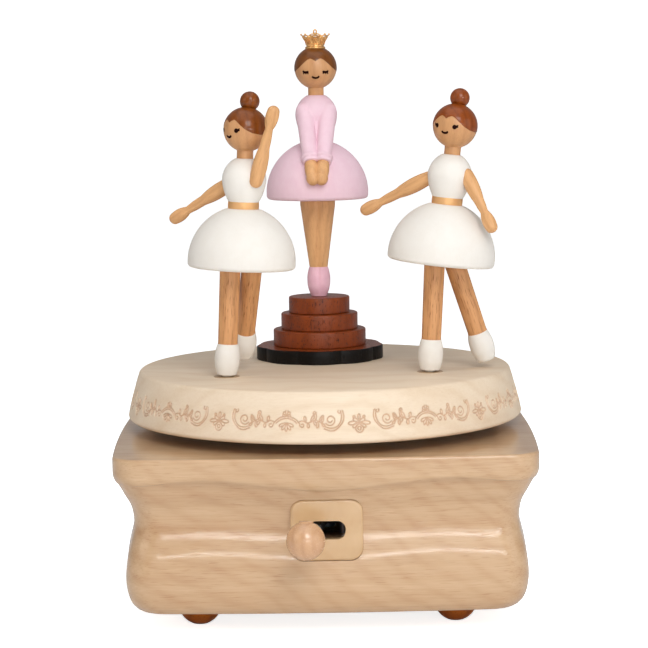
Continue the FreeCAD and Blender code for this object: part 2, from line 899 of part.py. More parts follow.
def length_between(start, end):
    return (Vector(*end) - Vector(*start)).Length


# left free between a peg's end and the bottom of its socket
PEG_GAP = 0.2


def make_skirt(label, placement, tools):
    """Domed skirt, a little hollow underneath, with the waist's socket in its top."""
    rim = size("skirt_radius")
    height = size("skirt_height")
    waist = size("waist_radius")
    peg = size("waist_peg_radius")
    socket = height - size("peg_length")
    points = [
        (0, 1.5), (rim - 4, 1.5, 3), (rim - 2.6, 0), (rim - 1.2, 0, 1.3), (rim, 1.2, 60), (rim, 3.2, 17.9),
        (waist + 1.4, height - 0.35, 4), (waist, height), (peg, height), (peg, socket), (0, socket),
    ]
    return keep(cut_by(turned(label, points, placement), tools))


def make_belt(label, placement):
    floor = size("skirt_height")
    waist = size("waist_radius")
    top = floor + size("belt_height")
    peg = size("waist_peg_radius")
    points = [(peg, floor), (waist, floor, 9), (waist, top), (peg, top)]
    return keep(turned(label, points, placement))


def make_bodice(label, placement, tools):
    """Egg-shaped torso with a waist peg below and a neck socket above."""
    floor = size("skirt_height") + size("belt_height")
    top = floor + size("torso_height")
    chest = size("torso_radius")
    neck = size("neck_radius")
    peg = size("waist_peg_radius")
    peg_end = size("skirt_height") - size("peg_length") + PEG_GAP
    socket = top - size("peg_length")
    points = [
        (0, peg_end), (peg, peg_end), (peg, floor), (size("waist_radius"), floor, 16),
        (chest, floor + size("torso_height") * 0.52, 7.6), (neck + 0.6, top, 1), (neck, top), (neck, socket),
        (0, socket),
    ]
    return keep(cut_by(turned(label, points, placement), tools))


def make_head(label, placement):
    """Ball head in one piece with its neck."""
    centre = size("head_centre")
    radius = size("head_radius")
    neck = size("neck_radius")
    floor = size("skirt_height") + size("belt_height") + size("torso_height")
    chin = centre - square_root(radius * radius - neck * neck)
    peg_end = floor - size("peg_length") + PEG_GAP
    points = [
        (0, peg_end), (neck, peg_end), (neck, chin, radius), (radius, centre, radius), (0, centre + radius),
    ]
    return turned(label, points, placement)


def make_bun(label, placement, head):
    lift, backwards = 8.6, 1.2
    ball = Part.makeSphere(value("bun_radius"), Vector(0, backwards, value("head_centre") + lift))
    return keep(cut_by(from_shape(label, ball, placement), [head]))


def make_crown(label, placement):
    """Flared openwork crown: band, eight points with beads, and a hoop with a ring on top."""
    base = value("head_centre") + 6.1
    head = Part.makeSphere(value("head_radius"), Vector(0, 0, value("head_centre")))
    outer_low, outer_high, band, wall = 3.2, 4.3, 3.6, 0.5
    notch_floor, notch_top, notch_half_width = base + 1.6, base + 5, 1.25
    bead_radius, wire, hoop_floor = 0.5, 0.35, base + 2.4
    cone = Part.makeCone(outer_low, outer_high, band, Vector(0, 0, base))
    hollow = Part.makeCone(outer_low - wall, outer_high - wall, band, Vector(0, 0, base))
    shell = cone.cut([hollow, head])
    points = 8
    notches = []
    for number in range(points):
        low = Vector(2, 0, notch_floor)
        left = Vector(2, -notch_half_width, notch_top)
        right = Vector(2, notch_half_width, notch_top)
        notch = Part.Face(Part.makePolygon([low, left, right, low])).extrude(Vector(5, 0, 0))
        notch.rotate(Vector(), Z_AXIS, 360 * (number + 0.5) / points)
        notches.append(notch)
    shell = shell.cut(notches)
    extras = []
    for number in range(points):
        spot = spin_spot(360 * number / points, outer_high - wall / 2, base + band + 0.2)
        extras.append(Part.makeSphere(bead_radius, Vector(*spot)))
    hoop_centre = base + 1.8
    hoop_radius = outer_high - 0.6
    hoop = Part.makeTorus(hoop_radius, wire, Vector(0, 0, hoop_centre), Vector(0, 1, 0))
    hoop = hoop.common(box_between((-6, -2, hoop_floor), (6, 2, hoop_centre + 2 * hoop_radius)))
    extras.append(hoop)
    ring_radius, ring_wire = 0.65, 0.28
    ring_centre = Vector(0, 0, hoop_centre + hoop_radius + 0.7)
    extras.append(Part.makeTorus(ring_radius, ring_wire, ring_centre, Vector(0, 1, 0)))
    return keep(from_shape(label, shell.fuse(extras), placement))


def make_leg(label, start, end, tool=None):
    """Turned leg with its shoe and a tenon: start is the sole, end is the hip."""
    length = length_between(start, end)
    shoe = size("shoe_radius")
    leg = size("leg_radius")
    tenon = size("tenon_radius")
    ankle = size("shoe_length")
    tenon_end = length + size("tenon_length")
    points = [
        (0, 0), (shoe - 0.85, 0, 12), (shoe, ankle * 0.45, 14), (leg - 0.2, ankle), (leg, length),
        (tenon, length), (tenon, tenon_end), (0, tenon_end),
    ]
    body = turned(label, points, aim(start, end))
    return keep(cut_by(body, [tool]) if tool else body)


def make_arm(label, start, end):
    """Turned arm: round shoulder at start, slim wrist, oval hand at end."""
    length = length_between(start, end)
    shoulder = size("arm_radius")
    wrist = size("wrist_radius")
    hand = size("hand_radius")
    hand_length = 7.4
    points = [
        (0, -shoulder, shoulder), (shoulder, 0), (wrist, length - hand_length, 9),
        (hand, length - hand, hand), (0, length),
    ]
    return keep(turned(label, points, aim(start, end)))


def make_crowned_arm(side, sign, centre, skirt_floor):
    """Sleeved arm reaching down in front of the skirt, with a cuff and an egg-shaped hand."""
    start = (centre[0] + sign * 3.9, centre[1] - 3.6, skirt_floor + 29.2)
    end = (centre[0] + sign * 2.05, centre[1] - 19.2, skirt_floor + 5.6)
    length = length_between(start, end)
    cuff_end = length - 8.2
    cuff_start = cuff_end - 2
    sleeve = size("sleeve_radius")
    sleeve_end, cuff, wrist = 2.35, 2.5, 1.5
    hand = size("hand_radius")
    points = [
        (0, -sleeve, sleeve), (sleeve, 0), (sleeve_end, cuff_start), (cuff, cuff_start), (cuff, cuff_end),
        (wrist, cuff_end, 9), (hand, length - hand, hand), (0, length),
    ]
    return keep(turned("crowned_arm_" + side, points, aim(start, end)))


def figure_placement(base, lean, facing):
    """Where a standing figure's skirt starts, how far it leans to the right and which way it faces."""
    lean_turn = FreeCAD.Rotation(Vector(0, 1, 0), lean)
    return placed(base, lean_turn.multiply(turn_about_z(facing)))


def make_spinning_figure(side, foot, upright, planet, standing_hip, raised, low_arm, other_name, other_arm):
    """One outer dancer: two legs, skirt, belt, bodice, two arms, head and bun."""
    sole = (foot[0], foot[1], value("turntable_top") + 0.6)
    standing = make_leg("standing_leg_" + side, sole, standing_hip, planet)
    lifted = make_leg("raised_leg_" + side, raised[1], raised[0])
    arm_one = make_arm("arm_outstretched_" + side, *low_arm)
    arm_two = make_arm(other_name, *other_arm)
    head = keep(make_head("head_" + side, upright))
    make_skirt("skirt_" + side, upright, [standing, lifted])
    make_belt("belt_" + side, upright)
    make_bodice("bodice_" + side, upright, [arm_one, arm_two])
    make_bun("bun_" + side, upright, head)


def make_left_dancer(azimuth, planet):
    foot = spin_spot(azimuth, carrier_distance())
    x, y = foot[0], foot[1]
    upright = figure_placement((x + 5.3, y + 0.8, 109.1), 2.9, -49)
    hip = (x + 1.9, y, 111.3)
    raised = ((x + 8.8, y + 0.2, 111.0), (x + 4.6, y + 16.2, 79.2))
    low_arm = ((x + 2.2, y + 4.6, 135.6), (x - 17.6, y + 14.8, 123.4))
    high_arm = ((x + 10.6, y - 5.4, 136.6), (x + 16.9, y - 8.2, 159.8))
    make_spinning_figure("left", foot, upright, planet, hip, raised, low_arm, "arm_raised_left", high_arm)


def make_right_dancer(azimuth, planet):
    foot = spin_spot(azimuth, carrier_distance())
    x, y = foot[0], foot[1]
    upright = figure_placement((x + 3.7, y + 0.5, 109.4), 6.6, -31)
    hip = (x + 1.9, y, 111.6)
    raised = ((x + 7.6, y + 3.7, 111.3), (x + 18.7, y + 8, 77.3))
    low_arm = ((x + 0.2, y + 3.4, 136.2), (x - 21, y + 12.2, 125.2))
    side_arm = ((x + 12, y - 3.2, 137.2), (x + 19.6, y - 12.4, 119.8))
    make_spinning_figure("right", foot, upright, planet, hip, raised, low_arm, "arm_lowered_right", side_arm)


def make_crowned_figure(centre, floor):
    """The figure on the pedestal. Its joined legs, skirt, belt, bodice, sleeved arms, head and crown."""
    skirt_floor = floor + 32.6
    upright = figure_placement((centre[0], centre[1], skirt_floor), 0, 0)
    arms = [make_crowned_arm(side, sign, centre, skirt_floor) for side, sign in (("left", 1), ("right", -1))]
    keep(make_head("head_crowned", upright))
    legs = make_crowned_legs(centre, floor)
    make_skirt("skirt_crowned", upright, [legs] + arms)
    make_belt("belt_crowned", upright)
    make_bodice("bodice_crowned", upright, arms)
    make_crown("crown", upright)
    return legs


def make_crowned_legs(centre, floor):
    """Both legs as one turned piece with a shoe end, and a dowel that runs down the pedestal."""
    points = [
        (0, -12), (1.5, -12), (1.5, 0), (2.7, 0, 10), (3.85, 4.6, 12), (3.05, 9.6), (5.85, 30.6),
        (4.2, 30.6), (4.2, 35.4), (0, 35.4),
    ]
    return keep(turned("legs_crowned", points, placed((centre[0], centre[1], floor))))


# ---------------------------------------------------------------- musical movement

GOVERNOR_WHEEL_AT = 42.2
CYLINDER_WHEEL_AT = 36.2
COMB_SCREWS_ACROSS = (22, 33)


def movement():
    """Placement of the movement: its drum's axis runs along its own +X."""
    return placed((0, 0, 0), turn_about_z(MOVEMENT_AZIMUTH))


def governor_offset():
    """Where the governor wheel's axis lies: across and below the drum's axis."""
    distance = value("wheel_module") * (value("wheel_teeth") + value("pinion_teeth")) / 2
    across = -0.8 * distance
    down = -0.6 * distance
    return across, value("drive_height") + down


def along_x(shape, start, across, height, spin=0.0):
    """Lays a gear made about Z along the movement's X axis."""
    shape.rotate(Vector(), Z_AXIS, spin)
    shape.rotate(Vector(), Vector(0, 1, 0), 90)
    shape.translate(Vector(start, across, height))
    return shape


def make_bedplate(holes):
    """Bedplate with the drum's near bearing post, the comb rail and the barrel bridge's foot."""
    top = value("bed_top")
    floor = top - value("bed_thickness")
    drive = value("drive_height")
    outline = [(-21, -16), (36, -16), (45, -9), (45, 9), (36, 20), (-21, 20)]
    points = [Vector(across, along, floor) for across, along in outline]
    plate = Part.Face(Part.makePolygon(points + points[:1])).extrude(Vector(0, 0, top - floor))
    post = box_between((16.7, -4, drive - 4), (18.4, 4, floor + 0.5))
    rail = box_between((19, 14.5, drive + 0.6), (36, 20, floor + 0.5))
    solid = plate.fuse([post, rail])
    bearing = value("arbor_radius") + value("running_gap")
    cuts = [
        Part.makeCylinder(value("bush_radius"), 10, Vector(0, 0, floor - 1)),
        cylinder_along(bearing, (16, 0, drive), (19, 0, drive)),
        Part.makeCylinder(0.6, 10, Vector(GOVERNOR_WHEEL_AT, worm_across(), floor - 1)),
    ]
    for across in COMB_SCREWS_ACROSS:
        spot = Vector(across, value("comb_screw_along"), drive + 0.6)
        cuts.append(Part.makeCylinder(value("comb_screw_radius"), 5, spot))
    solid = solid.cut(cuts)
    return keep(cut_by(from_shape("movement_bedplate", solid, movement()), [holes]))


def make_comb():
    """Steel comb: eighteen teeth whose tips reach to just off the drum's pins."""
    drive = value("drive_height")
    start, end = 19.0, 35.0
    tip, slot_end, back = value("cylinder_radius") + 0.95, 14.0, 20.0
    solid = box_between((start, tip, drive - 0.6), (end, back, drive + 0.6))
    teeth = 18
    half_slit = 0.14
    pitch = (end - start) / teeth
    slits = []
    for number in range(1, teeth):
        middle = start + number * pitch
        low = (middle - half_slit, tip - 1, drive - 2)
        slits.append(box_between(low, (middle + half_slit, slot_end, drive + 2)))
    for across in COMB_SCREWS_ACROSS:
        spot = Vector(across, value("comb_screw_along"), drive - 2)
        slits.append(Part.makeCylinder(value("comb_screw_radius"), 5, spot))
    return keep(from_shape("comb", solid.cut(slits), movement()))


def make_comb_screws():
    head_radius, head_height, length, slot_width = 1.7, 1, 5.4, 0.4
    screws = []
    for across in COMB_SCREWS_ACROSS:
        spot = Vector(across, value("comb_screw_along"), value("drive_height") - 0.6 - head_height)
        head = Part.makeCylinder(head_radius, head_height, spot)
        shank = Part.makeCylinder(value("comb_screw_radius"), length, spot)
        slot = Part.makeBox(4, slot_width, slot_width, spot - Vector(2, slot_width / 2, 0))
        screws.append(head.fuse(shank).cut(slot))
    return keep(from_shape("comb_screws", Part.makeCompound(screws), movement()))


def make_cylinder_arbor():
    """The drum's arbor with its driving pinion, in mesh with the crown wheel at the near end."""
    teeth = int(value("drum_teeth"))
    module = 2 * value("crown_radius") / value("crown_teeth")
    drive = value("drive_height")
    width = 2.6
    pinion = involute_gear(teeth, module, width, slack=0.1)
    # a gap points at the crown wheel's tooth, straight up
    pinion = along_x(pinion, value("crown_radius") - width / 2, 0, drive, 180 + 180 / teeth)
    arbor = cylinder_along(value("arbor_radius"), (12.9, 0, drive), (40.6, 0, drive))
    return keep(from_shape("cylinder_arbor", pinion.fuse(arbor), movement()))


def make_music_cylinder(arbor):
    """Hollow brass drum with end discs and rows of pins; the order of the pins follows a plain rule."""
    drive = value("drive_height")
    radius = value("cylinder_radius")
    start = value("cylinder_start")
    end = start + value("cylinder_length")
    tube = cylinder_along(radius, (start, 0, drive), (end, 0, drive))
    hollow = cylinder_along(radius - 0.8, (start + 1, 0, drive), (end - 1, 0, drive))
    solid = tube.cut(hollow)
    tracks = 18
    pitch = value("cylinder_length") / tracks
    pins = []
    for track in range(tracks):
        for note in range(3):
            angle = math.radians((track * 67 + note * (97 + 11 * (track % 3))) % 360)
            outward = (math.cos(angle), math.sin(angle))
            at = start + (track + 0.5) * pitch
            low = (at, (radius - 0.4) * outward[0], drive + (radius - 0.4) * outward[1])
            high = (at, (radius + 0.8) * outward[0], drive + (radius + 0.8) * outward[1])
            pins.append(cylinder_along(0.2, low, high))
    solid = solid.fuse(pins)
    return keep(cut_by(from_shape("music_cylinder", solid, movement()), [arbor]))


def make_cylinder_wheel(arbor):
    teeth = int(value("wheel_teeth"))
    wheel = involute_gear(teeth, value("wheel_module"), 1.4, slack=0.08)
    wheel = along_x(wheel, CYLINDER_WHEEL_AT, 0, value("drive_height"))
    return keep(cut_by(from_shape("cylinder_wheel", wheel, movement()), [arbor]))


def make_governor_wheel():
    """Pinion driven by the drum's wheel, arbor, and the wheel that drives the worm, as one piece."""
    across, height = governor_offset()
    drive = value("drive_height")
    azimuth = math.degrees(math.atan2(across, -(height - drive)))
    spin = mesh_turn(azimuth, int(value("pinion_teeth")), int(value("wheel_teeth")))
    pinion = involute_gear(int(value("pinion_teeth")), value("wheel_module"), 1.4, slack=0.08)
    pinion = along_x(pinion, CYLINDER_WHEEL_AT, across, height, spin)
    teeth = int(value("governor_teeth"))
    wheel = involute_gear(teeth, value("wheel_module"), 1.2, slack=0.16)
    # one tooth stands level with the axis, between two turns of the worm
    wheel = along_x(wheel, GOVERNOR_WHEEL_AT - 0.6, across, height, 90)
    start = (CYLINDER_WHEEL_AT, across, height)
    arbor = cylinder_along(0.8, start, (GOVERNOR_WHEEL_AT + 0.6, across, height))
    return keep(from_shape("governor_wheel", pinion.fuse([arbor, wheel]), movement()))


def worm_across():
    return governor_offset()[0] + value("governor_teeth") * value("wheel_module") / 2 + 1.7


def make_governor_worm():
    """Upright worm with its air-brake disc; it turns fast and holds the speed steady."""
    across = worm_across()
    middle = governor_offset()[1]
    pitch = math.pi * value("wheel_module")
    core = 1.0
    low = middle - 2.5 * pitch
    turns = 5
    helix = Part.makeHelix(pitch, pitch * turns, core)
    half_root, half_tip, inner, outer = 0.42, 0.2, core - 0.1, core + 0.62
    section = [(inner, -half_root), (outer, -half_tip), (outer, half_tip), (inner, half_root)]
    points = [Vector(x, 0, z) for x, z in section]
    profile = Part.makePolygon(points + points[:1])
    thread = Part.Wire(helix.Edges).makePipeShell([profile], True, True)
    thread.translate(Vector(0, 0, low))
    bottom, shaft_floor, shaft_top, disc_floor = 11.4, 17, 41.5, 12
    journal_radius, disc_radius = 0.55, 4.2
    shaft = Part.makeCylinder(core, shaft_top - shaft_floor, Vector(0, 0, shaft_floor))
    pivot_top = Part.makeCylinder(journal_radius, 3, Vector(0, 0, shaft_top - 0.1))
    journal = Part.makeCylinder(journal_radius, 20 - bottom, Vector(0, 0, bottom))
    disc = Part.makeCylinder(disc_radius, 0.8, Vector(0, 0, disc_floor))
    hub = Part.makeCylinder(1.4, 3, Vector(0, 0, disc_floor))
    # the thin journal runs bare where it passes the bracket's shelf
    shaft = shaft.cut(Part.makeCylinder(2, 2.6, Vector(0, 0, 16.6)))
    solid = shaft.fuse([thread, pivot_top, journal, disc, hub])
    for number in range(3):
        notch = Part.makeCylinder(1.1, 3, Vector(disc_radius, 0, disc_floor - 0.5))
        notch.rotate(Vector(), Z_AXIS, 120 * number)
        solid = solid.cut(notch)
    solid.rotate(Vector(), Z_AXIS, -90)
    solid.translate(Vector(GOVERNOR_WHEEL_AT, across, 0))
    return keep(from_shape("governor_worm", solid, movement()))


def make_governor_bracket():
    """Angle bracket under the bedplate that carries the drum's far end, the governor wheel and the worm."""
    drive = value("drive_height")
    across, height = governor_offset()
    bed_floor = value("bed_top") - value("bed_thickness")
    near, far, shelf_end = 38.8, 40.3, 44.4
    shelf_floor, shelf_top, shelf_half = 17.2, 18.9, 2.5
    upright = box_between((near, -12, shelf_floor), (far, 2.6, bed_floor))
    shelf_low = (near, worm_across() - shelf_half, shelf_floor)
    shelf = box_between(shelf_low, (shelf_end, worm_across() + shelf_half, shelf_top))
    solid = upright.fuse([shelf])
    gap = value("running_gap")
    cuts = [
        cylinder_along(value("arbor_radius") + gap, (38, 0, drive), (41, 0, drive)),
        cylinder_along(0.8 + gap, (38, across, height), (41, across, height)),
        Part.makeCylinder(0.6, 4, Vector(GOVERNOR_WHEEL_AT, worm_across(), 16)),
        cylinder_along(2.6, (GOVERNOR_WHEEL_AT, worm_across(), 20), (GOVERNOR_WHEEL_AT, worm_across(), 43)),
    ]
    return keep(from_shape("governor_bracket", solid.cut(cuts), movement()))


def make_spring_barrel():
    """Spring barrel with the crown wheel as its lid; it turns with the spindle."""
    teeth, root, reach = crown_teeth()
    module = 2 * value("crown_radius") / value("crown_teeth")
    pitch_height = value("drive_height") + value("drum_teeth") * module / 2
    for tooth in teeth:
        tooth.translate(Vector(0, 0, pitch_height))
    lid_floor = pitch_height + root
    lid_top = 42.5
    lid = Part.makeCylinder(reach, lid_top - lid_floor, Vector(0, 0, lid_floor))
    outer = value("barrel_radius")
    wall = value("barrel_wall")
    floor = value("barrel_floor")
    shell = Part.makeCylinder(outer, lid_floor + 0.2 - floor, Vector(0, 0, floor))
    shell = shell.cut(Part.makeCylinder(outer - wall, 30, Vector(0, 0, floor + wall)))
    solid = lid.fuse([shell] + teeth)
    key_radius = 2
    cuts = [
        Part.makeCylinder(value("spring_arbor_radius") + value("running_gap"), 2, Vector(0, 0, floor - 1)),
        Part.makeCylinder(key_radius, 10, Vector(0, 0, 40)),
    ]
    return keep(from_shape("spring_barrel", solid.cut(cuts), movement()))


def make_mainspring():
    """Coiled mainspring strip inside the barrel."""
    turns, steps = 8, 12
    inner, outer, strip = 3.0, 10.4, 0.3

    def spiral(offset):
        points = []
        for step in range(turns * steps + 1):
            angle = 2 * math.pi * step / steps
            radius = inner + (outer - inner) * step / (turns * steps) + offset
            points.append(Vector(radius * math.cos(angle), radius * math.sin(angle), 0))
        curve = Part.BSplineCurve()
        curve.interpolate(points)
        return curve.toShape()

    first, second = spiral(0), spiral(strip)
    ends = [Part.makeLine(first.valueAt(at), second.valueAt(to))
            for at, to in ((first.FirstParameter, second.FirstParameter),
                           (first.LastParameter, second.LastParameter))]
    outline = Part.Wire(Part.__sortEdges__([first, ends[1], second, ends[0]]))
    width = 8
    solid = Part.Face(outline).extrude(Vector(0, 0, width))
    solid.translate(Vector(0, 0, value("barrel_floor") + 1.3))
    return keep(from_shape("mainspring", solid, movement()))


def make_spring_arbor():
    """Fixed arbor inside the barrel, on the bridge that hangs from the bedplate."""
    bed_floor = value("bed_top") - value("bed_thickness")
    back, half_width, floor, top = -20, 4.5, 26.4, 28.6
    post = box_between((back, -half_width, floor), (back + 2.6, half_width, bed_floor))
    bar = box_between((back, -half_width, floor), (5, half_width, top))
    start = Vector(0, 0, 28)
    arbor = Part.makeCylinder(value("spring_arbor_radius"), 39.4 - start.z, start)
    return keep(from_shape("spring_arbor", post.fuse([bar, arbor]), movement()))


# ---------------------------------------------------------------- assembly


def build():
    left = CROWNED_AZIMUTH + OUTER_SPREAD
    right = CROWNED_AZIMUTH - OUTER_SPREAD
    make_base_screws()
    holes = screw_holes()
    make_base_block(make_ball_feet(), holes)
    make_bottom_cover(holes)
    make_slot_plate()
    make_lever_knob(make_start_lever())
    make_lever_pivot()
    make_spindle_bush()
    make_sun_gear(holes)
    screws = make_spindle_screws()
    spindle = make_spindle()
    make_turntable_disc(foot_bush_space((left, right)), spindle, screws)
    keep(cut_by(spindle, [screws]))
    make_foot_bushes((left, right))
    crowned = spin_spot(CROWNED_AZIMUTH, CROWNED_DISTANCE)
    pedestal_top = value("turntable_top") + value("scallop_thickness") + 3 * value("step_height")
    legs = make_crowned_figure(crowned, pedestal_top)
    make_scalloped_plate(crowned)
    for level, name in enumerate(("large", "middle", "small")):
        make_pedestal_step(name, level, crowned, [legs])
    make_left_dancer(left, make_planet_gear("left", left))
    make_right_dancer(right, make_planet_gear("right", right))
    make_bedplate(holes)
    make_comb()
    make_comb_screws()
    arbor = make_cylinder_arbor()
    make_music_cylinder(arbor)
    make_cylinder_wheel(arbor)
    make_governor_wheel()
    make_governor_worm()
    make_governor_bracket()
    make_spring_barrel()
    make_mainspring()
    make_spring_arbor()


def check_and_export():
    doc.recompute()
    for item in doc.Objects:
        if "Invalid" in item.State or "Error" in item.State:
            raise RuntimeError("%s (%s) failed: %s" % (item.Name, item.Label, item.State))
    os.makedirs("parts", exist_ok=True)
    for item in PARTS:
        shape = item.Shape
        if shape.isNull() or not shape.isValid() or not shape.Solids:
            raise RuntimeError("%s has no valid solid" % item.Label)
        shape.exportStep("parts/%s.step" % item.Label)
        print("%-22s solids %2d  volume %10.2f" % (item.Label, len(shape.Solids), shape.Volume))
    print(len(PARTS), "parts")


build()
check_and_export()
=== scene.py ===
"""Looks of the ballerina music box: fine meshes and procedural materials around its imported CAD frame.

Shapes are worked out in millimetres, each in its own frame with +Z along the axis it was turned about.
make_piece turns them into metres in the row frame and keeps the own frame as the attribute "grain",
so that wood grain follows the piece wherever it stands.
"""
import cmath
import json
import math

import bpy
import numpy as np
from mathutils import Matrix, Vector, kdtree


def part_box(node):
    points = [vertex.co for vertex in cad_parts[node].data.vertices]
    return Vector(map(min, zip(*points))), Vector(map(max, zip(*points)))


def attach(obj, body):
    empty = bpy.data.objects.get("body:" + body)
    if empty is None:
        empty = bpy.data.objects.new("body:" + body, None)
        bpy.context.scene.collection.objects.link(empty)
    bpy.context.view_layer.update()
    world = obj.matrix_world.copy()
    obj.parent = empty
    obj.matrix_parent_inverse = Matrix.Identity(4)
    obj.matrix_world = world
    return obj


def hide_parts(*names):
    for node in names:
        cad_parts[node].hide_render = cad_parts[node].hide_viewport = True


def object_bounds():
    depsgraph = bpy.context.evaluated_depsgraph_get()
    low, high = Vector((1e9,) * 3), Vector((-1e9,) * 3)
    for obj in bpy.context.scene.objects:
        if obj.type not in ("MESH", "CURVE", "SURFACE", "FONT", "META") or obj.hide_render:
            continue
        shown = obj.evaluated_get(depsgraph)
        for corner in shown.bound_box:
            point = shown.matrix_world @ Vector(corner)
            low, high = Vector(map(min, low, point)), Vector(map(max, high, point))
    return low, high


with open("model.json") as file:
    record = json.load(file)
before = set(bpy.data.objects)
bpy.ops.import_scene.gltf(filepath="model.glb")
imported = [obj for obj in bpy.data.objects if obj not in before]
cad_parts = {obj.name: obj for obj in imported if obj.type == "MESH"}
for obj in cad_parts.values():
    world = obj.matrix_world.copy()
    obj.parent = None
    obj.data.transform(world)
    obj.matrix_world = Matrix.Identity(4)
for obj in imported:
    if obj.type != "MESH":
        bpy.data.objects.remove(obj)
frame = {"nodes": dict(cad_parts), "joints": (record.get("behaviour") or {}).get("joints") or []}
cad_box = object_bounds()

MM = 0.001
FRONT = Vector((0, -1, 0))

# ---- reading the frame


def solid_of(node):
    """Vertices in millimetres and triangles of a CAD node."""
    mesh = frame["nodes"][node].data
    points = np.empty(len(mesh.vertices) * 3)
    mesh.vertices.foreach_get("co", points)
    mesh.calc_loop_triangles()
    triangles = np.empty(len(mesh.loop_triangles) * 3, dtype=int)
    mesh.loop_triangles.foreach_get("vertices", triangles)
    return points.reshape(-1, 3) / MM, triangles.reshape(-1, 3)


def corners(node):
    low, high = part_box(node)
    return low / MM, high / MM


def middle(node):
    low, high = corners(node)
    return (low + high) / 2


def wedges_of(node, origin):
    """Three sides of the wedge from origin to each triangle, and six times each wedge's volume."""
    points, triangles = solid_of(node)
    sides = [points[triangles[:, corner]] - np.array(origin) for corner in range(3)]
    return sides, np.einsum("ij,ij->i", sides[0], np.cross(sides[1], sides[2]))


def centre_of(node):
    """Centre of volume, which lies on the axis of a turned piece."""
    near = middle(node)
    sides, volumes = wedges_of(node, near)
    return Vector((sum(sides) * volumes[:, None]).sum(0) / (4 * volumes.sum())) + near


def reach_along(node, origin, direction):
    """Lowest and highest distance of a node from origin along direction."""
    points, _ = solid_of(node)
    distances = (points - np.array(origin)) @ np.array(direction)
    return distances.min(), distances.max()


def axis_of(node, near):
    """Both ends of a turned piece's long axis, the end nearest to the given point first."""
    centre = centre_of(node)
    sides, volumes = wedges_of(node, centre)
    moments = sum(np.einsum("i,ij,ik->jk", volumes, side, side) for side in sides + [sum(sides)])
    direction = Vector(np.linalg.eigh(moments)[1][:, -1])
    ends = [centre + direction * reach for reach in reach_along(node, centre, direction)]
    return sorted(ends, key=lambda end: (end - Vector(near)).length)


def stand(origin, up=(0, 0, 1), facing=FRONT):
    """Placement in millimetres: +Z along up, -Y towards the facing direction."""
    up = Vector(up).normalized()
    back = -(facing - up * facing.dot(up)).normalized()
    across = back.cross(up)
    turn = Matrix((across, back, up)).transposed().to_4x4()
    return Matrix.Translation(Vector(origin)) @ turn


def turned_front(degrees):
    """The front direction turned about the vertical axis; positive turns to the right-hand side."""
    angle = math.radians(degrees)
    return Vector((math.sin(angle), -math.cos(angle), 0))


# ---- shapes


def outline(points, arc_step=5):
    """Outline points from corners (across, up) or (across, up, radius of the arc to the next corner).

    A positive radius bulges to the right of the way along the outline, a negative one to the left.
    """
    result = []
    for index, (across, up, *arc) in enumerate(points):
        result.append((across, up))
        if not arc:
            continue
        start = complex(across, up)
        end = complex(*points[(index + 1) % len(points)][:2])
        radius = abs(arc[0])
        side = math.copysign(1, arc[0])
        chord = end - start
        length = math.sqrt(chord.real ** 2 + chord.imag ** 2)
        drop = math.sqrt(max(radius * radius - length * length / 4, 0))
        centre = (start + end) / 2 + 1j * chord / length * drop * side
        sweep = 2 * math.asin(min(length / (2 * radius), 1)) * side
        steps = max(2, round(abs(math.degrees(sweep)) / arc_step))
        for step in range(1, steps):
            point = centre + (start - centre) * cmath.rect(1, sweep * step / steps)
            result.append((point.real, point.imag))
    return result


def smooth_path(points, count):
    """Count points on a smooth curve through the given ones, of any dimension."""
    points = np.array(points, float)
    before = np.vstack([2 * points[0] - points[1], points[:-1]])
    after = np.vstack([points[1:], 2 * points[-1] - points[-2]])
    slopes = (after - before) / 2
    places = np.linspace(0, len(points) - 1, count)
    spans = np.minimum(places.astype(int), len(points) - 2)
    part = (places - spans)[:, None]
    start, end = points[spans], points[spans + 1]
    return (
        start * (1 + 2 * part) * (1 - part) ** 2 + slopes[spans] * part * (1 - part) ** 2
        + end * part ** 2 * (3 - 2 * part) - slopes[spans + 1] * part ** 2 * (1 - part)
    )


def ease(value):
    """Smooth step from 0 to 1."""
    value = np.clip(value, 0, 1)
    return value * value * (3 - 2 * value)


def skin(rings, closed=False):
    """Vertices and faces over rings that stack from the bottom up, each counter-clockwise from above.

    A ring of one point is a pole. A ring may have a whole multiple of its neighbour's points.
    """
    vertices, starts, faces = [], [], []
    for ring in rings:
        starts.append(len(vertices))
        vertices.extend(tuple(point) for point in ring)

    def part_of(ring, step, count):
        """Vertices of one of count equal parts of a ring, from its start to the next part's start."""
        size = len(rings[ring])
        share = size // count
        return [starts[ring] + (step * share + corner) % size for corner in range(share + 1)]

    last = len(rings) - 1
    for low, high in [(index, index + 1) for index in range(last)] + ([(last, 0)] if closed else []):
        sizes = len(rings[low]), len(rings[high])
        count = min(sizes) if min(sizes) > 1 else max(sizes)
        for step in range(count):
            faces.append(part_of(low, step, count) + part_of(high, step, count)[::-1])
    return vertices, faces


def round_the_axis(radius, angle, height):
    """The point at this radius, angle and height about the Z axis."""
    return radius * math.cos(angle), radius * math.sin(angle), height


def full_turn(steps):
    """Angles evenly round a full turn."""
    return [2 * math.pi * step / steps for step in range(steps)]


def lathe(points, segments=96, shape=lambda angle, across, up: (across, up)):
    """A turned shape; shape(angle, across, up) may move a point out of round."""
    rings = []
    for across, up in points:
        if across < 1e-6:
            rings.append([(0, 0, up)])
            continue
        ring = []
        for angle in full_turn(segments):
            radius, height = shape(angle, across, up)
            ring.append(round_the_axis(radius, angle, height))
        rings.append(ring)
    return skin(rings, closed=points[0][0] > 1e-6)


def oval_ring(centre, first, second, sides):
    """An oval about a centre from its two half axes."""
    return [centre + first * math.cos(turn) + second * math.sin(turn) for turn in full_turn(sides)]


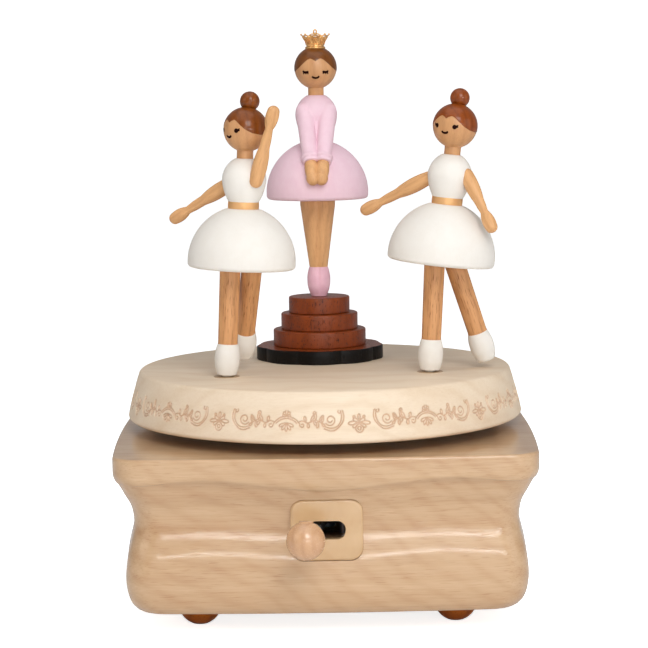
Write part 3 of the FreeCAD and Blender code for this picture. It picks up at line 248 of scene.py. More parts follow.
def tube(path, radius, sides=10, closed=False):
    """A round wire along a path, with rounded ends."""
    path = [Vector(point) for point in path]
    count = len(path)
    rings = []
    side = None
    for index, point in enumerate(path):
        ahead = path[(index + 1) % count] if closed or index + 1 < count else point
        behind = path[index - 1] if closed or index > 0 else point
        along = (ahead - behind).normalized()
        if side is None:
            side = along.orthogonal().normalized()
        side = (side - along * side.dot(along)).normalized()
        other = along.cross(side)
        widths = [(0, 1)]
        if not closed and index == 0:
            widths = [(-1, 0), (-0.7, 0.7), (0, 1)]
        if not closed and index == count - 1:
            widths = [(0, 1), (0.7, 0.7), (1, 0)]
        for shift, width in widths:
            centre = point + along * radius * shift
            if width:
                rings.append(oval_ring(centre, side * radius * width, other * radius * width, sides))
            else:
                rings.append([centre])
    return skin(rings, closed)


def ball(radius, centre=(0, 0, 0), segments=24):
    angles = [math.pi * (2 * row / segments - 0.5) for row in range(1, segments // 2)]
    side = [(radius * math.cos(angle), radius * math.sin(angle)) for angle in angles]
    return moved(lathe([(0, -radius)] + side + [(0, radius)], segments), Matrix.Translation(centre))


def moved(shape, place):
    vertices, faces = shape
    return [tuple(place @ Vector(vertex)) for vertex in vertices], faces


def joined(shapes):
    """One shape out of several."""
    vertices, faces = [], []
    for own_vertices, own_faces in shapes:
        start = len(vertices)
        vertices.extend(own_vertices)
        faces.extend([start + corner for corner in face] for face in own_faces)
    return vertices, faces


def bare_object(shape):
    """A helper object in metres, for modifiers; the caller removes it."""
    vertices, faces = shape
    mesh = bpy.data.meshes.new("helper")
    mesh.from_pydata([Vector(vertex) * MM for vertex in vertices], [], faces)
    item = bpy.data.objects.new("helper", mesh)
    bpy.context.scene.collection.objects.link(item)
    return item


def shape_after(item):
    """The shape of a helper object with its modifiers applied; the helper is removed."""
    graph = bpy.context.evaluated_depsgraph_get()
    mesh = bpy.data.meshes.new_from_object(item.evaluated_get(graph))
    vertices = [tuple(vertex.co / MM) for vertex in mesh.vertices]
    faces = [list(polygon.vertices) for polygon in mesh.polygons]
    bpy.data.objects.remove(item)
    bpy.data.meshes.remove(mesh)
    return vertices, faces


def merged(shapes, voxel, smoothing):
    """Several closed shapes melted into one carved surface."""
    item = bare_object(joined(shapes))
    remesh = item.modifiers.new("merge", "REMESH")
    remesh.mode = "VOXEL"
    remesh.voxel_size = voxel * MM
    smooth = item.modifiers.new("soften", "SMOOTH")
    smooth.factor = 0.5
    smooth.iterations = smoothing
    return shape_after(item)


def cut(shape, tools):
    """shape with each tool's space removed."""
    item = bare_object(shape)
    helpers = []
    for tool in tools:
        helper = bare_object(tool)
        helpers.append(helper)
        boolean = item.modifiers.new("cut", "BOOLEAN")
        boolean.operation = "DIFFERENCE"
        boolean.solver = "EXACT"
        boolean.object = helper
    result = shape_after(item)
    for helper in helpers:
        bpy.data.objects.remove(helper)
    return result


def make_piece(
    name, shape, materials, body, place=None, stands_for=(), paint=None, sharp=35, marks=None,
):
    """A finished piece. paint(x, y, z) gives each face its material; marks adds a value to each vertex."""
    vertices, faces = shape
    own = np.array(vertices, float)
    mesh = bpy.data.meshes.new(name)
    mesh.from_pydata([tuple(point) for point in own * MM], [], faces)
    mesh.shade_smooth()
    mesh.set_sharp_from_angle(angle=math.radians(sharp))
    grain = mesh.attributes.new("grain", "FLOAT_VECTOR", "POINT")
    grain.data.foreach_set("vector", own.ravel())
    if marks is not None:
        mesh.attributes.new("marks", "FLOAT", "POINT").data.foreach_set("value", marks)
    for material in materials:
        mesh.materials.append(material)
    if paint is not None:
        centres = np.array([polygon.center for polygon in mesh.polygons]) / MM
        chosen = paint(centres[:, 0], centres[:, 1], centres[:, 2]).astype(np.int32)
        mesh.polygons.foreach_set("material_index", chosen)
    if place is not None:
        metres = place.copy()
        metres.translation = place.translation * MM
        mesh.transform(metres)
    item = bpy.data.objects.new(name, mesh)
    bpy.context.scene.collection.objects.link(item)
    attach(item, body)
    if stands_for:
        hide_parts(*stands_for)
    return item


# ---- materials


def linear(colour):
    """A linear colour from display values of 0 to 255."""
    values = [value / 255 for value in colour]
    return (*(value / 12.92 if value < 0.04045 else ((value + 0.055) / 1.055) ** 2.4 for value in values), 1)


class Look:
    """A procedural material under construction. Its patterns are measured in millimetres."""

    def __init__(self, name, own_frame=True):
        self.material = bpy.data.materials.new(name)
        self.material.use_nodes = True
        self.tree = self.material.node_tree
        self.shader = self.tree.nodes["Principled BSDF"]
        if own_frame:
            self.place = self.node("Attribute", {"attribute_name": "grain"}).outputs["Vector"]
        else:
            whole = self.node("TexCoord").outputs["Object"]
            self.place = self.stretched((1 / MM,) * 3, source=whole)

    def node(self, kind, settings=None, **inputs):
        made = self.tree.nodes.new("ShaderNode" + kind)
        for name, value in (settings or {}).items():
            setattr(made, name, value)
        for name, value in inputs.items():
            self.feed(made.inputs[name.replace("_", " ")], value)
        return made

    def feed(self, socket, value):
        if isinstance(value, bpy.types.NodeSocket):
            self.tree.links.new(value, socket)
        else:
            socket.default_value = value

    def stretched(self, scale, turn=(0, 0, 0), shift=(0, 0, 0), source=None):
        """The pattern space scaled and turned (degrees); a small scale draws the pattern out."""
        mapping = self.node("Mapping", Vector=source or self.place, Scale=scale, Location=shift)
        mapping.inputs["Rotation"].default_value = [math.radians(angle) for angle in turn]
        return mapping.outputs["Vector"]

    def noise(self, stretch, detail=2.0, roughness=0.5, turn=(0, 0, 0), shift=(0, 0, 0)):
        vector = self.stretched(stretch, turn, shift)
        pattern = self.node("TexNoise", Vector=vector, Scale=1.0, Detail=detail, Roughness=roughness)
        return pattern.outputs["Fac"]

    def maths(self, operation, first, second=0.0):
        made = self.node("Math", {"operation": operation})
        self.feed(made.inputs[0], first)
        self.feed(made.inputs[1], second)
        return made.outputs[0]

    def step(self, value, low, high):
        """Smooth step of a value from 0 at low to 1 at high."""
        made = self.node("MapRange", {"interpolation_type": "SMOOTHSTEP"}, Value=value)
        made.inputs["From Min"].default_value = low
        made.inputs["From Max"].default_value = high
        return made.outputs["Result"]

    def total(self, *terms):
        """Sum of (value, share) terms."""
        result = None
        for value, share in terms:
            term = self.maths("MULTIPLY", value, share)
            result = term if result is None else self.maths("ADD", result, term)
        return result

    def blend(self, factor, low, high):
        """A colour between low and high, each a socket or display values of 0 to 255."""
        made = self.node("Mix", {"data_type": "RGBA", "clamp_factor": True})
        self.feed(made.inputs[0], factor)
        for place, colour in ((6, low), (7, high)):
            self.feed(made.inputs[place], linear(colour) if isinstance(colour, tuple) else colour)
        return made.outputs[2]

    def finish(self, colour, roughness, height=None, depth=0.02, **settings):
        """Feeds the shader. depth is the relief of the bump in millimetres."""
        self.feed(self.shader.inputs["Base Color"], colour)
        self.feed(self.shader.inputs["Roughness"], roughness)
        for name, value in settings.items():
            self.feed(self.shader.inputs[name.replace("_", " ")], value)
        if height is not None:
            bump = self.node("Bump", Height=height, Strength=1.0, Distance=depth * MM)
            self.feed(self.shader.inputs["Normal"], bump.outputs["Normal"])
            self.feed(self.shader.inputs["Coat Normal"], bump.outputs["Normal"])
        return self.material


def wood(
    name, light, dark, fibre, rings, ring_gap=4.0, ring_wobble=3.0, ring_share=0.3, tone_share=0.5,
    flecks=0.4, fleck_size=(2.4, 2.4, 0.22), gloss=0.42, depth=0.02, marks=None, own_frame=True, **settings,
):
    """Wood. fibre is the fibres' pattern scale, small along the grain; rings is the rings' turn and pith.

    The shares say how much rings, broad tone and flecks darken it; marks is the colour of burnt lines.
    """
    look = Look(name, own_frame)
    turn, pith = rings
    drift = look.noise((0.03, 0.03, 0.03), detail=2)
    flat = look.stretched((1, 1, 0), source=look.stretched((1, 1, 1), turn, (-pith[0], -pith[1], 0)))
    distance = look.node("VectorMath", {"operation": "LENGTH"}, Vector=flat).outputs["Value"]
    distance = look.total((distance, 1), (drift, ring_wobble * ring_gap))
    wave = look.maths("SINE", look.maths("MULTIPLY", distance, 2 * math.pi / ring_gap))
    ring = look.maths("POWER", look.total((wave, 0.5), (1.0, 0.5)), 2.5)
    fibres = look.noise(fibre, detail=4, roughness=0.6)
    fleck = look.step(look.noise(fleck_size, detail=1, shift=(7, 3, 5)), 0.6, 0.72)
    broad = look.noise([scale * 0.12 for scale in fibre], detail=2, shift=(3, 9, 1))
    amount = look.total((ring, ring_share), (broad, tone_share), (fibres, 0.5), (fleck, flecks), (1.0, -0.35))
    colour = look.blend(amount, light, dark)
    height = look.total((fibres, 0.5), (fleck, -0.7))
    if marks is not None:
        burnt = look.node("Attribute", {"attribute_name": "marks"}).outputs["Fac"]
        colour = look.blend(look.maths("MULTIPLY", burnt, 0.64), colour, marks)
    roughness = look.total((fibres, 0.16), (1.0, gloss - 0.08))
    return look.finish(colour, roughness, height, depth, **settings)


def paint(name, colour, shade, roughness, grain_depth=0.03, **settings):
    """Paint on turned wood: faint mottling, and the grain just telegraphs through."""
    look = Look(name)
    mottling = look.noise((0.35, 0.35, 0.35), detail=3)
    lines = look.noise((1.6, 1.6, 0.09), detail=3, roughness=0.6)
    orange_peel = look.noise((3.5, 3.5, 3.5), detail=1)
    amount = look.total((look.step(mottling, 0.35, 0.7), 0.55), (look.step(lines, 0.5, 0.8), 0.45))
    height = look.total((lines, 0.6), (orange_peel, 0.4))
    rough = look.total((mottling, 0.12), (1.0, roughness - 0.06))
    return look.finish(look.blend(amount, colour, shade), rough, height, grain_depth, **settings)


def metal(name, colour, shade, roughness, stretch=(2, 2, 2), own_frame=False, depth=0.01, Metallic=1.0):
    """Metal with fine tool marks and a slight change of tone."""
    look = Look(name, own_frame)
    marks = look.noise(stretch, detail=4, roughness=0.65)
    broad = look.noise((0.15, 0.15, 0.15), detail=2, shift=(4, 4, 4))
    amount = look.total((marks, 0.5), (broad, 0.6), (1.0, -0.1))
    rough = look.total((marks, 0.25), (1.0, roughness - 0.12))
    return look.finish(look.blend(amount, colour, shade), rough, marks, depth, Metallic=Metallic)


def plastic(name, colour, shade, roughness, own_frame=True, depth=0.008, **settings):
    """Moulded plastic with faint flow lines."""
    look = Look(name, own_frame)
    flow = look.noise((0.12, 0.3, 0.12), detail=3)
    skin_grain = look.noise((4, 4, 4), detail=2)
    rough = look.total((flow, 0.08), (1.0, roughness - 0.04))
    colour = look.blend(look.step(flow, 0.3, 0.75), colour, shade)
    return look.finish(colour, rough, look.total((skin_grain, 0.5), (flow, 0.5)), depth, **settings)


ALONG_X = (0.07, 2.2, 2.2)
ALONG_Z = (2.2, 2.2, 0.08)

beech = wood(
    "beech", (213, 181, 143), (166, 112, 64), (0.06, 1.2, 1.9), rings=((90, 0, 0), (-516, 737)),
    ring_gap=6.5, ring_wobble=2.2, ring_share=0.11, tone_share=0.7, flecks=0.24, fleck_size=(0.16, 2.0, 3.6),
    gloss=0.32, Coat_Weight=0.75, Coat_Roughness=0.11,
)
maple = wood(
    "maple", (236, 218, 194), (212, 182, 146), (0.05, 1.4, 1.8), rings=((0, 90, 0), (160, 30)),
    ring_gap=7.5, ring_share=0.2, flecks=0.12, fleck_size=(0.25, 2, 3), gloss=0.5,
    marks=(188, 132, 92),
)
# Wood of the dancers' legs. It is darker than pale_doll_wood, the wood of the arms and the crowned legs. Part
# of that is real grain contrast, and part is painted shade for the shadow under the skirts.
doll_wood = wood(
    "doll_wood", (224, 166, 110), (136, 72, 32), ALONG_Z, rings=((0, 0, 0), (11, 6)), ring_gap=2.6,
    ring_share=0.24, flecks=0.5, fleck_size=(4.2, 4.2, 0.3), gloss=0.4, depth=0.03,
)
face_wood = wood(
    "face_wood", (207, 154, 104), (150, 92, 50), ALONG_Z, rings=((0, 0, 0), (14, 9)), ring_gap=2.6,
    ring_share=0.14, tone_share=0.4, flecks=0.14, fleck_size=(3, 3, 0.25), gloss=0.36, depth=0.02,
)
pale_doll_wood = wood(
    "pale_doll_wood", (227, 175, 120), (168, 106, 56), ALONG_Z, rings=((0, 0, 0), (9, 5)), ring_gap=2.2,
    ring_share=0.18, tone_share=0.45, flecks=0.25, fleck_size=(4.2, 4.2, 0.25),
)
foot_wood = wood(
    "foot_wood", (176, 94, 28), (104, 48, 10), ALONG_X, rings=((0, 90, 0), (12, 8)), ring_gap=2.8,
    ring_share=0.35, gloss=0.36, Coat_Weight=0.12, Coat_Roughness=0.25, Specular_IOR_Level=0.25,
)
step_wood = wood(
    "step_wood", (140, 62, 18), (48, 15, 3), (2.6, 2.6, 0.3), rings=((0, 0, 0), (40, 25)),
    ring_gap=3.2, ring_share=0.14, flecks=0.8, fleck_size=(3.4, 3.4, 0.9), gloss=0.32,
    depth=0.16, Coat_Weight=0.12, Coat_Roughness=0.2, Specular_IOR_Level=0.25,
)
burnt_wood = wood(
    "burnt_wood", (12, 7, 4), (3, 2, 2), (1.5, 1.5, 0.12), rings=((90, 0, 0), (20, 40)),
    ring_gap=2.4, ring_share=0.25, flecks=0.3, fleck_size=(2, 2, 0.4), depth=0.12,
    Specular_IOR_Level=0.18,
)
hair_paints = {}
for figure, light, dark in (
    ("left", (136, 70, 14), (72, 30, 4)), ("right", (146, 70, 16), (82, 32, 4)),
    ("crowned", (124, 70, 20), (64, 32, 6)),
):
    hair_paints[figure] = wood(
        "hair_" + figure, light, dark, ALONG_Z, rings=((0, 0, 0), (9, 6)), ring_gap=2.8, ring_share=0.2,
        flecks=0.25, gloss=0.34, depth=0.012, Coat_Weight=0.4, Coat_Roughness=0.1, Specular_IOR_Level=0.2,
    )
knob_wood = wood(
    "knob_wood", (212, 168, 128), (176, 124, 84), (1.8, 0.09, 1.8), rings=((0, 0, 0), (10, 4)),
    ring_gap=3, ring_share=0.22, tone_share=0.4, flecks=0.15, gloss=0.26, Coat_Weight=0.7, Coat_Roughness=0.1,
)
white_paint = paint("white_paint", (235, 231, 224), (232, 227, 219), 0.64)
pink_paint = paint("pink_paint", (236, 204, 216), (232, 196, 210), 0.6)
shoe_pink = paint("shoe_pink", (236, 190, 204), (226, 174, 192), 0.42)
face_ink = paint("face_ink", (36, 8, 4), (24, 6, 3), 0.6, grain_depth=0.005, Specular_IOR_Level=0.06)
plate_gloss = plastic(
    "tan_plate", (212, 178, 136), (202, 164, 120), 0.2, Coat_Weight=0.6, Coat_Roughness=0.06,
)
gold_paint = metal(
    "gold_paint", (244, 196, 140), (220, 166, 106), 0.5, stretch=(1, 1, 6), own_frame=True,
    Metallic=0.7,
)
gold_metal = metal(
    "gold_metal", (248, 198, 132), (224, 164, 96), 0.3, stretch=(3, 3, 3), own_frame=True, depth=0.02,
    Metallic=0.75,
)
nickel = metal("nickel", (214, 186, 150), (176, 142, 104), 0.42, stretch=(4, 4, 1), Metallic=0.55)
steel = metal("steel", (198, 198, 200), (150, 150, 154), 0.32, stretch=(6, 6, 0.6))
brass = metal("brass", (222, 184, 106), (178, 138, 70), 0.3, stretch=(0.6, 6, 6))
cast_metal = metal(
    "cast_metal", (150, 150, 152), (108, 108, 112), 0.55, stretch=(3, 3, 3), depth=0.05,
)
blued_steel = metal("blued_steel", (92, 98, 118), (52, 56, 74), 0.3, stretch=(1, 1, 8))
cover_board = wood(
    "cover_board", (196, 160, 118), (146, 108, 72), ALONG_X, rings=((0, 90, 0), (40, 60)), ring_gap=6,
    own_frame=False, gloss=0.6,
)
gear_plastic = plastic("gear_plastic", (228, 224, 214), (206, 202, 190), 0.45, own_frame=False)

CAD_FINISHES = {
    cover_board: ("bottom_cover",),
    steel: (
        "base_screws", "comb", "comb_screws", "spindle_screws", "spindle", "cylinder_arbor", "governor_worm",
        "lever_pivot", "start_lever",
    ),
    nickel: ("foot_bushes",),
    brass: (
        "spindle_bush", "music_cylinder", "cylinder_wheel", "spring_arbor", "governor_bracket",
        "governor_wheel",
    ),
    cast_metal: ("movement_bedplate", "spring_barrel"),
    blued_steel: ("mainspring",),
    gear_plastic: ("sun_gear", "planet_gear_left", "planet_gear_right"),
}


def finish_cad_nodes():
    for material, nodes in CAD_FINISHES.items():
        for name in nodes:
            for material_slot in frame["nodes"][name].material_slots:
                material_slot.material = material


# ---- base

BASE_BOW_RADIUS = 842
BASE_CORNER = 9
PLATE_CORNER = 4
# width, height and corner of the block's window and of the plate's slot
WINDOW = (15, 8, 0.6)
SLOT = (11.3, 5.6, 2.5)
FOOT_RADIUS = 6.8
FOOT_PAD_RADIUS = 2.6
KNOB_RADIUS = 5.75
SIDE_STEPS = 88
CORNER_STEPS = 24
BASE_POINTS = 4 * (SIDE_STEPS + CORNER_STEPS)

base_low, base_high = corners("base_block")
base_half = base_high.x
base_floor = base_low.z
base_top = base_high.z
cover_low, cover_high = corners("bottom_cover")
plate_middle = middle("slot_plate")
plate_low, plate_high = corners("slot_plate")


def bowed_square(inset, height):
    """One ring of the base, its sides slightly bowed and its corners round, drawn in by inset."""
    inset = np.broadcast_to(np.asarray(inset, float), BASE_POINTS)
    height = np.broadcast_to(np.asarray(height, float), BASE_POINTS)
    half = base_half - inset
    between = BASE_BOW_RADIUS - BASE_CORNER
    slope = math.pi / 4 + np.arcsin((half - BASE_BOW_RADIUS) / (math.sqrt(2) * between))
    step = np.tile(np.arange(SIDE_STEPS + CORNER_STEPS), 4)
    on_side = step < SIDE_STEPS
    side_angle = slope * (2 * step / SIDE_STEPS - 1)
    corner_angle = slope + (math.pi / 2 - 2 * slope) * (step - SIDE_STEPS) / CORNER_STEPS
    corner_centre = between * np.sin(slope)
    across = np.where(
        on_side, BASE_BOW_RADIUS * np.sin(side_angle), corner_centre + BASE_CORNER * np.sin(corner_angle)
    )
    out = np.where(
        on_side,
        half - BASE_BOW_RADIUS + BASE_BOW_RADIUS * np.cos(side_angle),
        corner_centre + BASE_CORNER * np.cos(corner_angle),
    )
    turn = np.repeat(np.arange(4), SIDE_STEPS + CORNER_STEPS) * math.pi / 2
    return np.column_stack([
        across * np.cos(turn) + out * np.sin(turn), across * np.sin(turn) - out * np.cos(turn), height
    ])


def round_ring(radius, height):
    """A circle with one point for each point of the base's outline."""
    square = bowed_square(0, 0)[:, :2]
    circle = square / np.linalg.norm(square, axis=1)[:, None] * radius
    return np.column_stack([circle, np.full(BASE_POINTS, height)])


def rounded_edge(radius):
    """Inset and rise of points up a quarter round, from the outer side to the top."""
    angles = [math.radians(angle) for angle in range(0, 91, 15)]
    return [(radius * (1 - math.cos(angle)), radius * math.sin(angle)) for angle in angles]


def base_shape():
    """The bulging block under its wavy lip, hollow for the movement."""
    flat = np.abs(bowed_square(0, 0)[:, :2])
    share = flat.min(1) / base_half
    crest = 0.57
    to_crest = ease(share / crest)
    to_corner = ease((share - crest) / 0.3)
    on_front = flat[:, 1] >= flat[:, 0]
    # the lip's lower edge: deep in the middle of the front, thin at the crests, lower again at the corners
    front_lip = base_top - 10.0 + 3.5 * to_crest - 1.6 * to_corner
    side_lip = base_top - 6.2 - 1.9 * to_corner
    lip = np.where(on_front, front_lip, side_lip)
    crisp = np.where(on_front, to_crest * (1 - 0.8 * to_corner), 0.2 * (1 - to_corner))
    crease = 0.2 + 1.3 * crisp
    rounding = 3.2 - 2.2 * crisp
    undercut = 0.32 * rounding
    profile = smooth_path([
        (0.025, 6.2), (0.075, 4.7), (0.16, 3.6), (0.28, 3.2), (0.44, 4.0), (0.58, 5.4), (0.69, 6.0),
        (0.81, 5.2), (0.92, 2.8), (1, 0.8),
    ], 56)
    rings = [bowed_square(8.4, base_floor), bowed_square(7.1, base_floor + 0.35)]
    for part, inset in profile:
        near_lip = ease((part - 0.86) / 0.14)
        end = crease + undercut - 0.8
        rings.append(bowed_square(inset + end * near_lip, base_floor + part * (lip - base_floor)))
    for part in (0.06, 0.2, 0.4, 0.6, 0.8, 1):
        rings.append(bowed_square(undercut * (1 - part) ** 2, lip + rounding * part))
    edge = 0.9
    for sink, rise in rounded_edge(edge):
        rings.append(bowed_square(sink, base_top - edge + rise))
    bush_hole, cavity, ceiling = 5.0, 48.5, 46.0
    rebate = (cover_high.x - cover_low.x) / 2 + 0.2
    for radius, height in (
        (bush_hole, base_top), (bush_hole, ceiling), (cavity, ceiling), (cavity, cover_high.z),
        (rebate, cover_high.z), (rebate, base_floor),
    ):
        rings.append(round_ring(radius, height))
    return skin(rings, closed=True)


def slab(width, height, corner, back, front, rounding=0):
    """A plate with round corners facing the front, centred on the slot, its front edge rounded."""
    across, up = plate_middle.x, plate_middle.z
    layers = [(0, back)]
    if rounding:
        layers += [(inset, front + rounding - rise) for inset, rise in rounded_edge(rounding)]
    else:
        layers.append((0, front))
    rings = [[(across, back, up)]]
    for inset, depth in layers:
        x, z, radius = width / 2 - inset, height / 2 - inset, corner - inset
        ring = outline([
            (x, z - radius, radius), (x - radius, z), (radius - x, z, radius), (-x, z - radius),
            (-x, radius - z, radius), (radius - x, -z), (x - radius, -z, radius), (x, radius - z),
        ], arc_step=11)
        rings.append([(across + x, depth, up + z) for x, z in ring])
    rings.append([(across, layers[-1][1], up)])
    return skin(rings)


def make_base():
    """The block with its window and its plate's seat, the slot plate, and the four ball feet."""
    plate_size = plate_high.x - plate_low.x, plate_high.z - plate_low.z, PLATE_CORNER
    out_to_front = plate_low.y - 5
    in_cavity = 8 - cover_high.x
    window = slab(*WINDOW, in_cavity, out_to_front)
    seat = slab(*plate_size, plate_high.y, out_to_front)
    block = cut(base_shape(), [window, seat])
    make_piece("base_beech", block, [beech], "base", stands_for=("base_block",))
    front = plate_low.y - 0.4
    slot = slab(*SLOT, plate_high.y + 2, front - 2)
    plate = cut(slab(*plate_size, plate_high.y, front, rounding=1.1), [slot])
    make_piece("tan_slot_plate", plate, [plate_gloss], "base", stands_for=("slot_plate",))
    low, high = corners("ball_feet")
    for side, x in (("left", low.x), ("right", high.x)):
        for end, y in (("front", low.y), ("back", high.y)):
            make_foot(end + "_" + side, x, y)


def make_foot(name, x, y):
    """A turned ball foot that reaches x and y outwards, on a small flat pad."""
    spot = (x - math.copysign(FOOT_RADIUS, x), y - math.copysign(FOOT_RADIUS, y), 0)
    ball_centre = math.sqrt(FOOT_RADIUS ** 2 - FOOT_PAD_RADIUS ** 2)
    shape = lathe(outline([
        (0, 0), (FOOT_PAD_RADIUS, 0, FOOT_RADIUS), (FOOT_RADIUS, ball_centre), (FOOT_RADIUS, base_floor),
        (0, base_floor),
    ], arc_step=6), segments=64)
    make_piece("ball_foot_" + name, shape, [foot_wood], "base", stand(spot), ("ball_feet",))


def make_knob():
    """The start lever's turned knob with its waisted neck, pointing along the lever."""
    outer, inner = axis_of("lever_knob", near=(0, -200, plate_middle.z))
    length = (outer - inner).length
    ball_at = length - KNOB_RADIUS
    shape = lathe(outline([
        (0, 0), (2.1, 0), (2.1, 0.4 * ball_at), (1.9, ball_at - KNOB_RADIUS + 0.2, -2.2),
        (2.9, ball_at - 4.95, KNOB_RADIUS), (KNOB_RADIUS, ball_at, KNOB_RADIUS), (0, length),
    ], arc_step=4), segments=72)
    place = stand(inner, outer - inner, Vector((0, 0, -1)))
    make_piece("turned_knob", shape, [knob_wood], "lever", place, ("lever_knob",))


# ---- turntable

table_low, table_high = corners("turntable_disc")
# repeats of the engraving round the rim, points in each repeat, and fine points to one coarse point
REPEATS = 9
COLUMNS = 240
COARSE = 6
RIM_RADIUS = 64
# the engraved band's lowest ring, its end and the step between rings, and the pattern's middle height
BAND_HEIGHTS = (62.3, 69.7, 0.205)
BAND_MIDDLE = 66.3
ENGRAVING_DEPTH = 0.3
ENGRAVING_START = -10.7


def arc_stroke(centre, radius, start, end, steps=14):
    """Part of a circle between two angles in degrees."""
    angles = np.radians(np.linspace(start, end, steps))
    return np.column_stack([centre[0] + radius * np.cos(angles), centre[1] + radius * np.sin(angles)])


def petal(root, angle, length, width):
    """A drop-shaped loop growing from root towards the angle in degrees."""
    turn = np.linspace(0, 2 * math.pi, 20)
    along = length * (1 - np.cos(turn)) / 2
    across = width / 2 * np.sin(turn) * np.sqrt(along / length + 0.05)
    tilt = math.radians(angle)
    return np.column_stack([
        root[0] + along * math.cos(tilt) - across * math.sin(tilt),
        root[1] + along * math.sin(tilt) + across * math.cos(tilt),
    ])


def curl(centre, radius, start, turn):
    """A line that winds in towards its centre, turning through an angle in degrees."""
    angles = np.radians(np.linspace(start, start + turn, 24))
    shrinking = radius * np.linspace(1, 0.3, 24)
    return np.column_stack([centre[0] + shrinking * np.cos(angles), centre[1] + shrinking * np.sin(angles)])


def garland():
    """Strokes from the garland's middle outwards: flower, dome over petals, leafy stem, scroll and hook."""
    strokes = [petal((0, 1.5), angle, length, 0.9) for angle, length in ((90, 2.0), (48, 1.5), (8, 1.2))]
    strokes += [petal((0, -0.5), angle, 2.4, 0.95) for angle in (-90, -57, -24)]
    strokes += [arc_stroke((0, -3.5), 4.9, 90, 33), arc_stroke((0, -3.5), 4.3, 90, 42)]
    strokes.append(curl((4.9, -1.1), 0.8, 170, 330))
    stem = [(3.6, -0.3), (5.0, 0.1), (6.4, -0.5), (7.8, -0.1), (9.2, 0.3), (10.6, -0.4), (12.0, -1.4)]
    strokes.append(smooth_path(stem, 36))
    for across, up, angle, length in (
        (6.0, -0.3, 105, 1.7), (6.6, -0.4, -80, 1.5), (7.5, -0.1, 60, 2.1), (8.3, 0.2, -55, 1.7),
        (9.0, 0.3, 95, 1.9), (9.7, 0.1, -95, 2.0), (10.1, 0.0, 50, 2.0), (10.8, -0.5, -45, 1.4),
        (11.0, -0.4, 85, 1.6),
    ):
        strokes.append(petal((across, up), angle, length, 0.9))
    strokes.append(curl((8.6, 2.3), 0.6, 0, 360))
    strokes.append(curl((13.5, 0.3), 1.7, 215, 480))
    for shift in (0, 0.7):
        strokes.append(smooth_path([
            (11.6, -1.5 - shift), (13.4, -2.1 - shift), (15.2, -1.8 - shift), (16.5 + shift, -0.5),
            (17.0 + shift, 1.2), (16.7 + shift, 2.9)], 36))
    strokes.append(curl((16.5, 2.7), 0.9, 0, 400))
    return strokes


def pendant(edge):
    """Strokes of one half of the hanging flower between two garlands."""
    petals = ((184, 3.4), (214, 2.4), (148, 2.1))
    strokes = [petal((edge, -0.6), angle, length, 1.2) for angle, length in petals]
    strokes.append(petal((edge, 0.0), 90, 1.8, 1.0))
    strokes += [arc_stroke((edge, -2.3), radius, 90, 270) for radius in (1.2, 0.5)]
    strokes.append(curl((edge - 1.6, 1.0), 0.45, 0, 360))
    return strokes


def engraving(heights):
    """Nearness to the pattern's strokes, 0 to 1, for each height and each column of one repeat."""
    pitch = 2 * math.pi / REPEATS * RIM_RADIUS
    along = np.abs((np.arange(COLUMNS) / COLUMNS - 0.5) * pitch)
    grid = np.stack(np.meshgrid(along, heights - BAND_MIDDLE), axis=-1).reshape(-1, 1, 2)
    nearest = np.full(len(grid), 99.0)
    for stroke in garland() + pendant(pitch / 2):
        start = stroke[None, :-1]
        way = stroke[1:] - stroke[:-1]
        length = np.maximum((way ** 2).sum(-1), 1e-9)
        part = np.clip(((grid - start) * way).sum(-1) / length, 0, 1)
        distance = np.linalg.norm(grid - start - part[..., None] * way, axis=-1).min(1)
        nearest = np.minimum(nearest, distance)
    return nearest.reshape(len(heights), COLUMNS)


